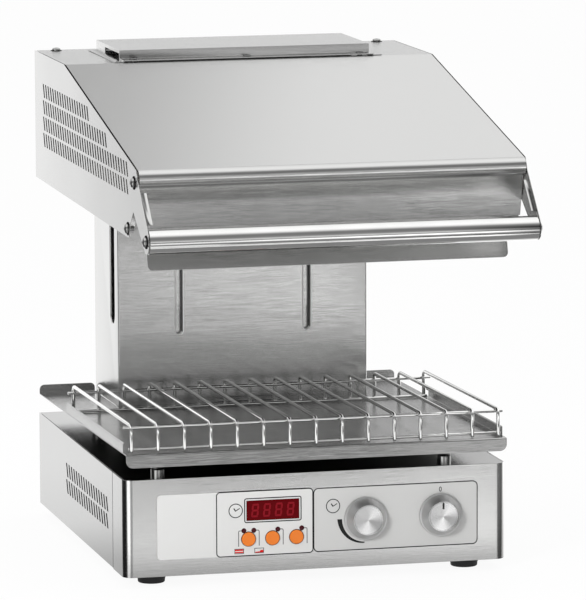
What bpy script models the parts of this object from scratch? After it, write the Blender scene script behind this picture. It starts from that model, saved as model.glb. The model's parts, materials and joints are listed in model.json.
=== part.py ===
"""Lift salamander grill: base with controls, sloping tray on posts, column, and a hood that slides on it.

Metres, +Z up, +X to the right, the front faces -Y. The origin lies under the middle of the object's
box, on the surface that the feet stand on. Depths are measured forward from the rear plane, which is
the back of the hood, and heights from the surface under the feet.
"""
import math

import bmesh
import bpy
from mathutils import Matrix, Vector

# Sheets and clearances
SHEET = 0.0012
SIDE_SHEET = 0.0015
FIT = 0.0003
EDGE_GAP = 0.0008
OVERRUN = 0.004

# Base housing
BASE_WIDTH = 0.475
BASE_DEPTH = 0.510
BASE_SETBACK = 0.008
BASE_HEIGHT = 0.1184
BASE_CORNER_RADIUS = 0.0106
WRAP_LENGTH = 0.064
PANEL_DROP = 0.0010
FOOT_RADIUS = 0.0174
FOOT_HEIGHT = 0.0133
FOOT_TAPER = 0.0010
FOOT_INSET_SIDE = 0.0419
FOOT_INSET_FRONT = 0.0400
FOOT_INSET_REAR = 0.0450

# Vents in the sheet sides: leaning slots in rows
VENT_PITCH = 0.0149
VENT_WIDTH = 0.0066
VENT_HEIGHT = 0.0172
VENT_LEAN = 0.0078
VENT_ROW_PITCH = 0.0208
BASE_VENT_COUNT = 17
BASE_VENT_START = 0.1765
BASE_VENT_TOP = 0.0955
BASE_VENT_ROWS = 2
HOOD_VENT_START = 0.0505
HOOD_VENT_CLEARANCES = (0.0310, 0.0310, 0.0150, 0.0350)
HOOD_VENT_DROP = 0.0375

# Bottom plate vents and the cable ways
FLOOR_SLOT_LENGTH = 0.090
FLOOR_SLOT_WIDTH = 0.008
FLOOR_SLOT_PITCH = 0.022
FLOOR_SLOT_COUNT = 5
CABLE_HOLE_RADIUS = 0.011
CABLE_HOLE_SIDE = 0.060
GLAND_SIDE = 0.150
GLAND_HEIGHT = 0.050
GLAND_FLANGE_RADIUS = 0.0130
GLAND_NECK_RADIUS = 0.0085
GLAND_BORE_RADIUS = 0.0045
GLAND_FLANGE = 0.0050
GLAND_LENGTH = 0.0180

# Control panel
OVERLAY = 0.0005
OVERLAY_ASIDE = 0.0047
OVERLAY_WIDTH = 0.1923
OVERLAY_RISE = 0.0204
OVERLAY_HEIGHT = 0.0787
OVERLAY_CORNER = 0.0045
DISPLAY_INSET = 0.0497
DISPLAY_DROP = 0.0240
DISPLAY_HALF_WIDTH = 0.0325
DISPLAY_HALF_HEIGHT = 0.0121
WINDOW_THICKNESS = 0.0016
BUTTON_INSET = 0.0206
BUTTON_PITCH = 0.0297
BUTTON_RISE = 0.0202
BUTTON_RADIUS = 0.0084
BUTTON_PROUD = 0.0022
BUTTON_FLANGE = 0.0012
BUTTON_FLANGE_RADIUS = 0.0092
BUTTON_STEM_RADIUS = 0.0020
BUTTON_TRAVEL = 0.0010
LAMP_ASIDE_LEFT = 0.0057
LAMP_ASIDE_RIGHT = 0.0066
LAMP_ASIDE_LAST = 0.0065
LAMP_RISE = 0.0104
LAMP_RADIUS = 0.0026
BOARD_DEPTH = 0.0120
BOARD_THICKNESS = 0.0016
BOARD_MARGIN = 0.0080
BOARD_DROP = 0.0139
BOARD_POST_RADIUS = 0.0030
TACT_HALF = 0.0030
TACT_HEIGHT = 0.0035
KNOB_ASIDE = 0.0605
KNOB_PITCH = 0.0938
KNOB_DROP = 0.0593
KNOB_SKIRT_RADIUS = 0.0264
KNOB_SKIRT = 0.0032
KNOB_GRIP_RADIUS = 0.0246
KNOB_FACE_RADIUS = 0.0186
KNOB_PROUD = 0.0160
KNOB_CHAMFER = 0.0010
KNOB_GAP = 0.0010
KNOB_BORE = 0.0110
SPINDLE_RADIUS = 0.0030
SPINDLE_HOLE_RADIUS = 0.0050
SWITCH_HALF = 0.0210
SWITCH_DEPTH = 0.0300
SWITCH_BORE = 0.0120
TERMINAL_SIDE = 0.120
TERMINAL_FROM_REAR = 0.070
TERMINAL_LENGTH = 0.060
TERMINAL_DEPTH = 0.022
TERMINAL_HEIGHT = 0.020
TERMINAL_GROOVE = 0.003
TERMINAL_POLES = 5

# Tray and rack, in a frame that falls towards the rear
TRAY_TILT = math.radians(0.95)
TRAY_FRONT = 0.5270
TRAY_FRONT_HEIGHT = 0.1643
TRAY_INSET = 0.00165
TRAY_DEPTH = 0.5240
APRON_DROP = 0.0162
APRON_CORNER = 0.0080
SIDE_RIM_HEIGHT = 0.0120
SIDE_RIM_START = 0.0190
SIDE_RIM_LENGTH = 0.3340
REAR_RIM_HEIGHT = 0.0112
REAR_RIM_CORNER = 0.0040
TRAY_NOTCH_GAP = 0.0015
POST_RADIUS = 0.0085
POST_COLUMN_GAP = 0.0176
POST_FRONT_DEPTH = 0.4450
POST_REAR_DEPTH = 0.1000
RACK_WIRE_COUNT = 15
RACK_SIDE_GAP = 0.00835
RACK_WIRE_RADIUS = 0.0020
RACK_CROSS_RADIUS = 0.0018
RACK_START = 0.0095
RACK_LENGTH = 0.3390
RACK_HEIGHT = 0.0335
RACK_BEND = 0.0070
RACK_WELD = 0.0009
CROSS_STUB_HIGH = 0.0080
CROSS_STUB_LOW = 0.0035
CROSS_TOP_BACK = 0.0085
CROSS_REAR_DROP = 0.0080

# Column
COLUMN_WIDTH = 0.3240
COLUMN_REAR = 0.0035
COLUMN_FRONT = 0.1440
COLUMN_HIDDEN_HEIGHT = 0.0138
COLUMN_BEND = 0.0020
SLOT_SIDE = 0.0830
SLOT_WIDTH = 0.0102
SLOT_SPARE = 0.0540
SIDE_SLOT_FRONT = 0.1229
SIDE_SLOT_REAR = 0.0968
SIDE_SLOT_SPARE = 0.0415
PLUG_SIDE = 0.1085
PLUG_RISE = 0.0476
PLUG_RADIUS = 0.0085
LONG_SLOT_LENGTH = 0.0730
LONG_SLOT_WIDTH = 0.0062
LONG_SLOT_RISE = 0.0295
FOOT_PLATE = 0.0040
TOP_PLATE = 0.0030
TOP_PLATE_DEPTH = 0.0700
ROD_RADIUS = 0.0060
ROD_SIDE = 0.1150
ROD_DEPTH = 0.0450
BUSH_WALL = 0.0040
BUSH_LENGTH = 0.1000
GAS_DEPTH = 0.0960
GAS_CYLINDER_RADIUS = 0.0100
GAS_CYLINDER_LENGTH = 0.1610
GAS_ROD_RADIUS = 0.0040
GAS_BASE = 0.0040
GAS_ENGAGED = 0.0150

# Lift of the hood
HOOD_TRAVEL = 0.1400
CARRIAGE_PLATE = 0.0040
CARRIAGE_DEPTH = 0.1120
CARRIAGE_HALF_WIDTH = 0.1500
CARRIAGE_HEIGHT = 0.1380
CARRIAGE_BLOCK_HALF = 0.0190
CARRIAGE_BLOCK_BACK = 0.0260
LUG_DEPTH = 0.0200
LUG_HEIGHT = 0.0275
ARM_THICKNESS = 0.0080
GAS_LUG_HALF = 0.0120
GAS_LUG_HEIGHT = 0.0200

# Hood: insets and reaches run from the nose, drops from the nose and rises from the front's lower corner
HOOD_WIDTH = 0.4740
HOOD_TOP = 0.5980
HOOD_TOP_FRONT = 0.1860
HOOD_NOSE_DEPTH = 0.5990
HOOD_SLOPE_DROP = 0.0830
HOOD_FRONT_DROP = 0.0856
HOOD_REAR_RISE = 0.0068
BODY_CORNER_INSET = 0.0425
NOTCH_BACK_INSET = 0.0335
NOTCH_BACK_RISE = 0.0176
NOTCH_APEX_INSET = 0.0160
NOTCH_APEX_RISE = 0.0341
CHEEK_REACH = 0.0095
CHEEK_DROP = 0.0145
NOSE_RADIUS = 0.0085
NOSE_STEP = 0.0130
NOSE_LEG = 0.0200
FRONT_PANEL_INSET = 0.0170
FRONT_PANEL_RISE = 0.0136
FRONT_PANEL_RETURN = 0.0060
ARM_FLANGE = 0.0080
HANDLE_REACH = 0.0530
HANDLE_RISE = 0.0073
HANDLE_RADIUS = 0.0145
HANDLE_WALL = 0.0015
HANDLE_PLUG = 0.0060
CAP_FRONT = 0.1590
CAP_REAR = 0.0220
CAP_WIDTH = 0.3220
CAP_HEIGHT = 0.0118
CAP_FLANGE = 0.0250
CAP_FLANGE_SIDE = 0.0110
CAP_OPENING_SHARE = 0.62
CAP_RIM = 0.0020
SCREW_HEAD_RADIUS = 0.0068
SCREW_HEAD_HEIGHT = 0.0042
SCREW_SHANK_RADIUS = 0.0030
SCREW_LENGTH = 0.0060
SCREW_SOCKET_RADIUS = 0.0024
SCREW_SOCKET_DEPTH = 0.0022
SCREW_NOSE_INSET = 0.0110
SCREW_NOSE_DROP = 0.0165
SCREW_BODY_INSET = 0.0460
SCREW_BODY_RISE = 0.0106

# Heater under the hood
FRAME_SIDE_GAP = 0.0152
FRAME_REAR = 0.1500
FRAME_FRONT_INSET = 0.0270
FRAME_RISE = 0.0076
FRAME_HEIGHT = 0.0310
FRAME_LEDGE = 0.0100
LIP_INSET = 0.0140
LIP_DROP = 0.0359
LIP_CORNER = 0.0060
GLASS_THICKNESS = 0.0040
BOARD_HEIGHT = 0.0140
ELEMENT_RADIUS = 0.0026
ELEMENT_RUNS = 6
ELEMENT_RUN_PITCH = 0.0320
ELEMENT_SIDE = 0.1050
ELEMENT_MARGIN = 0.0300

# Seams closer than this are welded
CAP_WELD = 0.00002
TURNED_WELD = 0.00001

# Facets
ARC_STEPS = 4
ROUND_STEPS = 24
MEDIUM_STEPS = 16
SMALL_STEPS = 12
WIRE_ROUNDNESS = 1
BEND_STEPS = 2

# Places of the hood worked out from the sizes above
HOOD_NOSE_HEIGHT = HOOD_TOP - HOOD_SLOPE_DROP
HOOD_FRONT_BOTTOM = HOOD_NOSE_HEIGHT - HOOD_FRONT_DROP
HOOD_REAR_BOTTOM = HOOD_FRONT_BOTTOM + HOOD_REAR_RISE
BODY_CORNER_DEPTH = HOOD_NOSE_DEPTH - BODY_CORNER_INSET
NOTCH_BACK_DEPTH = HOOD_NOSE_DEPTH - NOTCH_BACK_INSET
NOTCH_BACK_HEIGHT = HOOD_FRONT_BOTTOM + NOTCH_BACK_RISE
NOTCH_APEX_DEPTH = HOOD_NOSE_DEPTH - NOTCH_APEX_INSET
NOTCH_APEX_HEIGHT = HOOD_FRONT_BOTTOM + NOTCH_APEX_RISE
CHEEK_DEPTH = HOOD_NOSE_DEPTH + CHEEK_REACH
CHEEK_HEIGHT = HOOD_NOSE_HEIGHT - CHEEK_DROP
FRONT_PANEL_DEPTH = HOOD_NOSE_DEPTH - FRONT_PANEL_INSET
FRONT_PANEL_BOTTOM = HOOD_FRONT_BOTTOM + FRONT_PANEL_RISE
HANDLE_DEPTH = HOOD_NOSE_DEPTH + HANDLE_REACH
HANDLE_HEIGHT = HOOD_FRONT_BOTTOM + HANDLE_RISE
SCREW_NOSE_DEPTH = HOOD_NOSE_DEPTH - SCREW_NOSE_INSET
SCREW_NOSE_HEIGHT = HOOD_NOSE_HEIGHT - SCREW_NOSE_DROP
SCREW_BODY_DEPTH = HOOD_NOSE_DEPTH - SCREW_BODY_INSET
SCREW_BODY_HEIGHT = HOOD_FRONT_BOTTOM + SCREW_BODY_RISE
HOOD_HALF = HOOD_WIDTH / 2
HOOD_INNER = HOOD_HALF - SIDE_SHEET
FRAME_HALF_WIDTH = HOOD_INNER - FRAME_SIDE_GAP
FRAME_FRONT = HOOD_NOSE_DEPTH - FRAME_FRONT_INSET
FRAME_BOTTOM = HOOD_FRONT_BOTTOM + FRAME_RISE
FRAME_TOP = FRAME_BOTTOM + FRAME_HEIGHT
LIP_DEPTH = HOOD_NOSE_DEPTH - LIP_INSET
LIP_BOTTOM = HOOD_FRONT_BOTTOM - LIP_DROP
HOOD_VENT_TOP = HOOD_TOP - HOOD_VENT_DROP
CARRIAGE_TOP = FRAME_TOP
CARRIAGE_BOTTOM = CARRIAGE_TOP - CARRIAGE_HEIGHT
LUG_BOTTOM = CARRIAGE_TOP - LUG_HEIGHT

# Places of the base, its controls, the tray and the column
REAR_Y = (HANDLE_DEPTH + HANDLE_RADIUS) / 2
BASE_BOTTOM = FOOT_HEIGHT
BASE_TOP = BASE_BOTTOM + BASE_HEIGHT
BASE_FRONT = BASE_SETBACK + BASE_DEPTH
BASE_HALF = BASE_WIDTH / 2
OVERLAY_RIGHT = -OVERLAY_ASIDE
OVERLAY_LEFT = OVERLAY_RIGHT - OVERLAY_WIDTH
OVERLAY_BOTTOM = BASE_BOTTOM + OVERLAY_RISE
OVERLAY_TOP = OVERLAY_BOTTOM + OVERLAY_HEIGHT
DISPLAY_SIDE = OVERLAY_RIGHT - DISPLAY_INSET
DISPLAY_HEIGHT = OVERLAY_TOP - DISPLAY_DROP
BUTTON_SIDES = tuple(OVERLAY_RIGHT - BUTTON_INSET - step * BUTTON_PITCH for step in (2, 1, 0))
BUTTON_HEIGHT = OVERLAY_BOTTOM + BUTTON_RISE
LAMP_SIDES = (
    BUTTON_SIDES[0] - LAMP_ASIDE_LEFT, BUTTON_SIDES[0] + LAMP_ASIDE_RIGHT,
    BUTTON_SIDES[1] + LAMP_ASIDE_RIGHT, BUTTON_SIDES[2] + LAMP_ASIDE_LAST,
)
LAMP_HEIGHT = BUTTON_HEIGHT + LAMP_RISE
BOARD_BOTTOM = BUTTON_HEIGHT - BOARD_DROP
KNOB_LEFT_SIDE = KNOB_ASIDE
KNOB_RIGHT_SIDE = KNOB_LEFT_SIDE + KNOB_PITCH
KNOB_HEIGHT = BASE_TOP - KNOB_DROP
TRAY_WIDTH = BASE_WIDTH - 2 * TRAY_INSET
RACK_PITCH = (TRAY_WIDTH - 2 * RACK_SIDE_GAP) / (RACK_WIRE_COUNT - 1)
COLUMN_HALF = COLUMN_WIDTH / 2
POST_SIDE = COLUMN_HALF + POST_COLUMN_GAP
COLUMN_TOP = HOOD_REAR_BOTTOM + COLUMN_HIDDEN_HEIGHT
SLOT_BOTTOM = LUG_BOTTOM - HOOD_TRAVEL - SLOT_SPARE
SIDE_SLOT_BOTTOM = LUG_BOTTOM - HOOD_TRAVEL - SIDE_SLOT_SPARE
PLUG_HEIGHT = BASE_TOP + PLUG_RISE
LONG_SLOT_HEIGHT = BASE_TOP + LONG_SLOT_RISE

COLLECTION = bpy.data.collections.new("salamander_grill")
CUTTERS = bpy.data.collections.new("cutters")

STEEL = (0.58, 0.58, 0.57)
BRIGHT_STEEL = (0.68, 0.68, 0.67)
ZINC = (0.50, 0.51, 0.52)
BLACK = (0.015, 0.015, 0.015)


def back(depth):
    """The Y of a place that lies this far in front of the rear plane."""
    return REAR_Y - depth


def along_x(low, high):
    """Matrix that stands a flat outline of (y, z) points upright and centres it between two X places."""
    turn = Matrix(((0, 0, 1), (1, 0, 0), (0, 1, 0))).to_4x4()
    return Matrix.Translation(((low + high) / 2, 0, 0)) @ turn


def upright(low, high):
    """Matrix that stands a flat outline of (x, z) points upright between two Y places."""
    turn = Matrix(((1, 0, 0), (0, 0, -1), (0, 1, 0))).to_4x4()
    return Matrix.Translation((0, (low + high) / 2, 0)) @ turn


def along_y(depth_near, depth_far):
    """Matrix that stands a flat outline of (x, z) points upright between two depths."""
    return upright(back(depth_far), back(depth_near))


def along_z(low, high):
    """Matrix that lays a flat outline of (x, y) points level between two heights."""
    return Matrix.Translation((0, 0, (low + high) / 2))


def add_object(name, mesh, home=COLLECTION):
    """A new object for a mesh, linked to the part's collection."""
    obj = bpy.data.objects.new(name, mesh)
    home.objects.link(obj)
    return obj


def finish(obj, colour, roughness, metallic):
    """Give an object a Principled material of its own."""
    material = bpy.data.materials.new(obj.name + "_finish")
    material.use_nodes = True
    shader = material.node_tree.nodes["Principled BSDF"]
    shader.inputs["Base Color"].default_value = (*colour, 1)
    shader.inputs["Roughness"].default_value = roughness
    shader.inputs["Metallic"].default_value = metallic
    obj.data.materials.clear()
    obj.data.materials.append(material)
    return obj


def mesh_from_curve(name, curve, matrix):
    """Turn a curve into a closed mesh object, with its caps welded and its place in the mesh."""
    holder = bpy.data.objects.new(name + "_curve", curve)
    CUTTERS.objects.link(holder)
    graph = bpy.context.evaluated_depsgraph_get()
    mesh = bpy.data.meshes.new_from_object(holder.evaluated_get(graph))
    bpy.data.objects.remove(holder)
    bpy.data.curves.remove(curve)
    work = bmesh.new()
    work.from_mesh(mesh)
    bmesh.ops.remove_doubles(work, verts=work.verts, dist=CAP_WELD)
    bmesh.ops.transform(work, matrix=matrix, verts=work.verts)
    bmesh.ops.recalc_face_normals(work, faces=work.faces)
    work.to_mesh(mesh)
    work.free()
    mesh.name = name
    return add_object(name, mesh)


def plate(name, outline, thickness, matrix, holes=()):
    """A flat plate: an outline with holes, filled, and given its thickness."""
    curve = bpy.data.curves.new(name, "CURVE")
    curve.dimensions = "2D"
    curve.fill_mode = "BOTH"
    curve.extrude = thickness / 2
    for points in (outline, *holes):
        spline = curve.splines.new("POLY")
        spline.points.add(len(points) - 1)
        for point, (x, y) in zip(spline.points, points):
            point.co = (x, y, 0, 1)
        spline.use_cyclic_u = True
    return mesh_from_curve(name, curve, matrix)


def rectangle(x0, x1, y0, y1):
    """The four corners of a rectangle."""
    return [(x0, y0), (x1, y0), (x1, y1), (x0, y1)]


def circle(x, y, radius, steps=SMALL_STEPS):
    """Points round a circle."""
    turns = (math.tau * (step + 0.5) / steps for step in range(steps))
    return [(x + radius * math.cos(turn), y + radius * math.sin(turn)) for turn in turns]


def capsule(x, y, length, width, steps=ARC_STEPS):
    """A slot with round ends, its length along x."""
    radius = width / 2
    reach = length / 2 - radius
    points = []
    for side in (1, -1):
        for step in range(steps + 1):
            turn = side * math.pi * (step / steps - 0.5)
            points.append((x + side * (reach + radius * math.cos(turn)), y + radius * math.sin(turn)))
    return points


def fillet(points, radii, closed=True, steps=ARC_STEPS):
    """Replace the corners of a line by arcs. A corner whose radius is 0 stays sharp."""
    result = []
    count = len(points)
    for index, corner in enumerate(points):
        radius = radii[index]
        if radius == 0 or (not closed and index in (0, count - 1)):
            result.append(corner)
            continue
        here = Vector(corner)
        before = (Vector(points[index - 1]) - here).normalized()
        after = (Vector(points[(index + 1) % count]) - here).normalized()
        half = before.angle(after) / 2
        centre = here + (before + after).normalized() * radius / math.sin(half)
        start = here + before * radius / math.tan(half) - centre
        sweep = start.angle_signed(here + after * radius / math.tan(half) - centre)
        for step in range(steps + 1):
            spoke = Matrix.Rotation(-sweep * step / steps, 2) @ start
            result.append(tuple(centre + spoke))
    return result


def offset_line(points, distance):
    """The line moved sideways to its left by a distance, with mitred corners."""
    moved = []
    for index, point in enumerate(points):
        here = Vector(point)
        sides = []
        if index > 0:
            sides.append((here - Vector(points[index - 1])).normalized())
        if index < len(points) - 1:
            sides.append((Vector(points[index + 1]) - here).normalized())
        normals = [Vector((-side.y, side.x)) for side in sides]
        mitre = sum(normals, Vector((0, 0))).normalized()
        moved.append(tuple(here + mitre * distance / mitre.dot(normals[0])))
    return moved


def folded(name, line, thickness, length, matrix):
    """A folded sheet: a line that is its outer side, with the thickness on its left."""
    return plate(name, line + offset_line(line, thickness)[::-1], length, matrix)


def box(name, x0, x1, depth_near, depth_far, z0, z1):
    """A block between two X places, two depths from the rear plane and two heights."""
    work = bmesh.new()
    low = Vector((x0, back(depth_far), z0))
    high = Vector((x1, back(depth_near), z1))
    bmesh.ops.create_cube(work, size=1)
    bmesh.ops.scale(work, vec=high - low, verts=work.verts)
    bmesh.ops.translate(work, vec=(low + high) / 2, verts=work.verts)
    mesh = bpy.data.meshes.new(name)
    work.to_mesh(mesh)
    work.free()
    return add_object(name, mesh)


def rod(name, start, end, radius, steps=SMALL_STEPS):
    """A solid round bar between two points."""
    start, end = Vector(start), Vector(end)
    run = end - start
    work = bmesh.new()
    bmesh.ops.create_cone(
        work, cap_ends=True, segments=steps, radius1=radius, radius2=radius, depth=run.length
    )
    turn = run.to_track_quat("Z", "Y").to_matrix().to_4x4()
    bmesh.ops.transform(work, matrix=Matrix.Translation((start + end) / 2) @ turn, verts=work.verts)
    mesh = bpy.data.meshes.new(name)
    work.to_mesh(mesh)
    work.free()
    return add_object(name, mesh)


def turned(name, profile, steps=ROUND_STEPS):
    """A turned solid about Z: (radius, height) points from the top of its outer side downwards."""
    work = bmesh.new()
    verts = [work.verts.new((radius, 0, height)) for radius, height in profile]
    for one, two in zip(verts, verts[1:]):
        work.edges.new((one, two))
    if profile[0][0] > 0:
        work.edges.new((verts[-1], verts[0]))
    mesh = bpy.data.meshes.new(name)
    work.to_mesh(mesh)
    work.free()
    obj = add_object(name, mesh)
    screw = obj.modifiers.new("turn", "SCREW")
    screw.axis = "Z"
    screw.angle = math.tau
    screw.steps = screw.render_steps = steps
    screw.use_merge_vertices = True
    screw.merge_threshold = TURNED_WELD
    apply_modifiers(obj)
    obj.data.shade_smooth()
    obj.data.set_sharp_from_angle(angle=math.radians(35))
    return obj


def apply_modifiers(obj):
    """Replace an object's mesh by the one its modifiers make."""
    graph = bpy.context.evaluated_depsgraph_get()
    mesh = bpy.data.meshes.new_from_object(obj.evaluated_get(graph))
    obj.modifiers.clear()
    obj.data = mesh
    return obj


def stand(obj, matrix):
    """Move the points of an object's mesh by a matrix."""
    obj.data.transform(matrix)
    return obj


def face_side(x, depth, z, side):
    """Matrix that turns a shape made about Z so that its top faces the left or the right side."""
    return Matrix.Translation((x, back(depth), z)) @ Matrix.Rotation(side * math.pi / 2, 4, "Y")


def combine(target, others, operation, solver="EXACT"):
    """Join other solids to an object, or cut them out of it, and remove them."""
    for other in others:
        step = target.modifiers.new(operation.lower(), "BOOLEAN")
        step.operation = operation
        step.solver = solver
        step.object = other
        apply_modifiers(target)
        bpy.data.objects.remove(other)
    return target


def fuse(target, *others):
    """One solid from several that overlap."""
    return combine(target, others, "UNION")


def cut(target, *others):
    """Cut solids out of an object."""
    return combine(target, others, "DIFFERENCE")


def hang_from(parent, pieces):
    """Parent pieces to an empty and leave them where they are."""
    for piece in pieces:
        piece.parent = parent
        piece.matrix_parent_inverse = parent.matrix_world.inverted()


def empty(name, place, turn=(0, 0, 0)):
    """An empty that carries pieces."""
    holder = bpy.data.objects.new(name, None)
    holder.location = place
    holder.rotation_euler = turn
    COLLECTION.objects.link(holder)
    bpy.context.view_layer.update()
    return holder


def vent_row(start, top, count):
    """Leaning slots in a row, as outlines of (y, z) points."""
    slots = []
    for index in range(count):
        depth = start + index * VENT_PITCH
        slots.append([
            (back(depth), top),
            (back(depth + VENT_LEAN), top - VENT_HEIGHT),
            (back(depth + VENT_LEAN + VENT_WIDTH), top - VENT_HEIGHT),
            (back(depth + VENT_WIDTH), top),
        ])
    return slots


def base_outline(inset):
    """The base seen from above, drawn in from its outside, with round corners at the front."""
    half = BASE_HALF - inset
    radius = BASE_CORNER_RADIUS - inset
    rear = back(BASE_SETBACK + inset)
    front = back(BASE_FRONT - inset)
    corners = [(-half, rear), (-half, front), (half, front), (half, rear)]
    return fillet(corners, (0, radius, radius, 0))


def make_base():
    """The housing: wrapped front panel, side panels, rear panel, floor and top."""
    panels = []
    seam = back(BASE_FRONT - WRAP_LENGTH)
    front = back(BASE_FRONT)
    corners = [(-BASE_HALF, seam), (-BASE_HALF, front), (BASE_HALF, front), (BASE_HALF, seam)]
    radius = BASE_CORNER_RADIUS
    wrap = fillet(corners, (0, radius, radius, 0), closed=False)
    panel = folded("base_front_panel", wrap, SHEET, BASE_HEIGHT, along_z(BASE_BOTTOM, BASE_TOP))
    near, far = BASE_FRONT - SHEET - OVERRUN, BASE_FRONT + OVERRUN
    window = box(
        "window_cut",
        DISPLAY_SIDE - DISPLAY_HALF_WIDTH - FIT, DISPLAY_SIDE + DISPLAY_HALF_WIDTH + FIT,
        near, far,
        DISPLAY_HEIGHT - DISPLAY_HALF_HEIGHT - FIT, DISPLAY_HEIGHT + DISPLAY_HALF_HEIGHT + FIT,
    )
    holes = [window]
    for x, z, radius in panel_holes():
        holes.append(rod("hole_cut", (x, back(near), z), (x, back(far), z), radius))
    panels.append(cut(panel, *holes))

    rows = []
    for row in range(BASE_VENT_ROWS):
        rows += vent_row(BASE_VENT_START, BASE_VENT_TOP - row * VENT_ROW_PITCH, BASE_VENT_COUNT)
    low = BASE_BOTTOM + PANEL_DROP
    outline = rectangle(back(BASE_FRONT - WRAP_LENGTH - FIT), back(BASE_SETBACK), low, BASE_TOP)
    for name, side in (("base_left_panel", -1), ("base_right_panel", 1)):
        edges = sorted((side * BASE_HALF, side * (BASE_HALF - SHEET)))
        panels.append(plate(name, outline, SHEET, along_x(*edges), rows))

    inner = BASE_HALF - SHEET - FIT
    panels.append(plate(
        "base_rear_panel", rectangle(-inner, inner, low, BASE_TOP), SHEET,
        along_y(BASE_SETBACK, BASE_SETBACK + SHEET),
        [circle(GLAND_SIDE, GLAND_HEIGHT, GLAND_NECK_RADIUS + FIT, ROUND_STEPS)],
    ))

    outline = base_outline(SHEET + FIT)
    way = circle(CABLE_HOLE_SIDE, back(COLUMN_FRONT / 2), CABLE_HOLE_RADIUS)
    panels.append(plate(
        "base_top_plate", outline, SHEET, along_z(BASE_TOP - SHEET, BASE_TOP), [way]
    ))
    slots = []
    for index in range(FLOOR_SLOT_COUNT):
        shift = (index - (FLOOR_SLOT_COUNT - 1) / 2) * FLOOR_SLOT_PITCH
        slots.append(capsule(0, back(BASE_FRONT / 2 + shift), FLOOR_SLOT_LENGTH, FLOOR_SLOT_WIDTH))
    panels.append(plate("base_floor", outline, SHEET, along_z(low, low + SHEET), slots))
    for piece in panels:
        finish(piece, STEEL, 0.32, 1.0)


def panel_holes():
    """Place and radius of each round hole in the control panel."""
    holes = [(side, KNOB_HEIGHT, SPINDLE_HOLE_RADIUS) for side in (KNOB_LEFT_SIDE, KNOB_RIGHT_SIDE)]
    holes += [(side, BUTTON_HEIGHT, BUTTON_RADIUS + FIT) for side in BUTTON_SIDES]
    holes += [(side, LAMP_HEIGHT, LAMP_RADIUS + FIT) for side in LAMP_SIDES]
    return holes


def make_feet():
    """Four turned rubber feet under the floor."""
    top = BASE_BOTTOM + PANEL_DROP - FIT
    profile = [(0, top), (FOOT_RADIUS, top), (FOOT_RADIUS, FOOT_TAPER), (FOOT_RADIUS - FOOT_TAPER, 0), (0, 0)]
    for row, depth in (("front", BASE_FRONT - FOOT_INSET_FRONT), ("rear", BASE_SETBACK + FOOT_INSET_REAR)):
        for name, side in (("left", -1), ("right", 1)):
            foot = turned("foot_%s_%s" % (row, name), profile, MEDIUM_STEPS)
            foot.location = (side * (BASE_HALF - FOOT_INSET_SIDE), back(depth), 0)
            finish(foot, BLACK, 0.7, 0.0)


def make_gland():
    """The bush in the rear panel that the supply lead would come out of."""
    outside = BASE_SETBACK - FIT
    profile = [
        (GLAND_BORE_RADIUS, GLAND_FLANGE), (GLAND_FLANGE_RADIUS, GLAND_FLANGE), (GLAND_FLANGE_RADIUS, 0),
        (GLAND_NECK_RADIUS, 0), (GLAND_NECK_RADIUS, GLAND_FLANGE - GLAND_LENGTH),
        (GLAND_BORE_RADIUS, GLAND_FLANGE - GLAND_LENGTH),
    ]
    gland = turned("cable_gland", profile, MEDIUM_STEPS)
    gland.location = (GLAND_SIDE, back(outside), GLAND_HEIGHT)
    gland.rotation_euler = (-math.pi / 2, 0, 0)
    finish(gland, BLACK, 0.6, 0.0)


def make_controls():
    """Overlay, display, board, buttons, knobs, their spindles and switches, and the terminals."""
    skin = BASE_FRONT + FIT
    inside = BASE_FRONT - SHEET
    outline = fillet(
        rectangle(OVERLAY_LEFT, OVERLAY_RIGHT, OVERLAY_BOTTOM, OVERLAY_TOP), (OVERLAY_CORNER,) * 4
    )
    window = rectangle(
        DISPLAY_SIDE - DISPLAY_HALF_WIDTH - FIT, DISPLAY_SIDE + DISPLAY_HALF_WIDTH + FIT,
        DISPLAY_HEIGHT - DISPLAY_HALF_HEIGHT - FIT, DISPLAY_HEIGHT + DISPLAY_HALF_HEIGHT + FIT,
    )
    holes = [window]
    for x, z, radius in panel_holes():
        if x < OVERLAY_RIGHT:
            holes.append(circle(x, z, radius))
    overlay = plate("control_overlay", outline, OVERLAY, along_y(skin, skin + OVERLAY), holes)
    finish(overlay, (0.80, 0.80, 0.79), 0.45, 0.0)

    pane = box(
        "display_window",
        DISPLAY_SIDE - DISPLAY_HALF_WIDTH, DISPLAY_SIDE + DISPLAY_HALF_WIDTH,
        skin + OVERLAY - WINDOW_THICKNESS, skin + OVERLAY,
        DISPLAY_HEIGHT - DISPLAY_HALF_HEIGHT, DISPLAY_HEIGHT + DISPLAY_HALF_HEIGHT,
    )
    finish(pane, (0.10, 0.003, 0.006), 0.12, 0.0)
    make_board(skin, inside)
    make_buttons(skin, inside)
    make_knob("timer", KNOB_LEFT_SIDE, inside)
    make_knob("power", KNOB_RIGHT_SIDE, inside)
    make_terminals()


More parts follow.
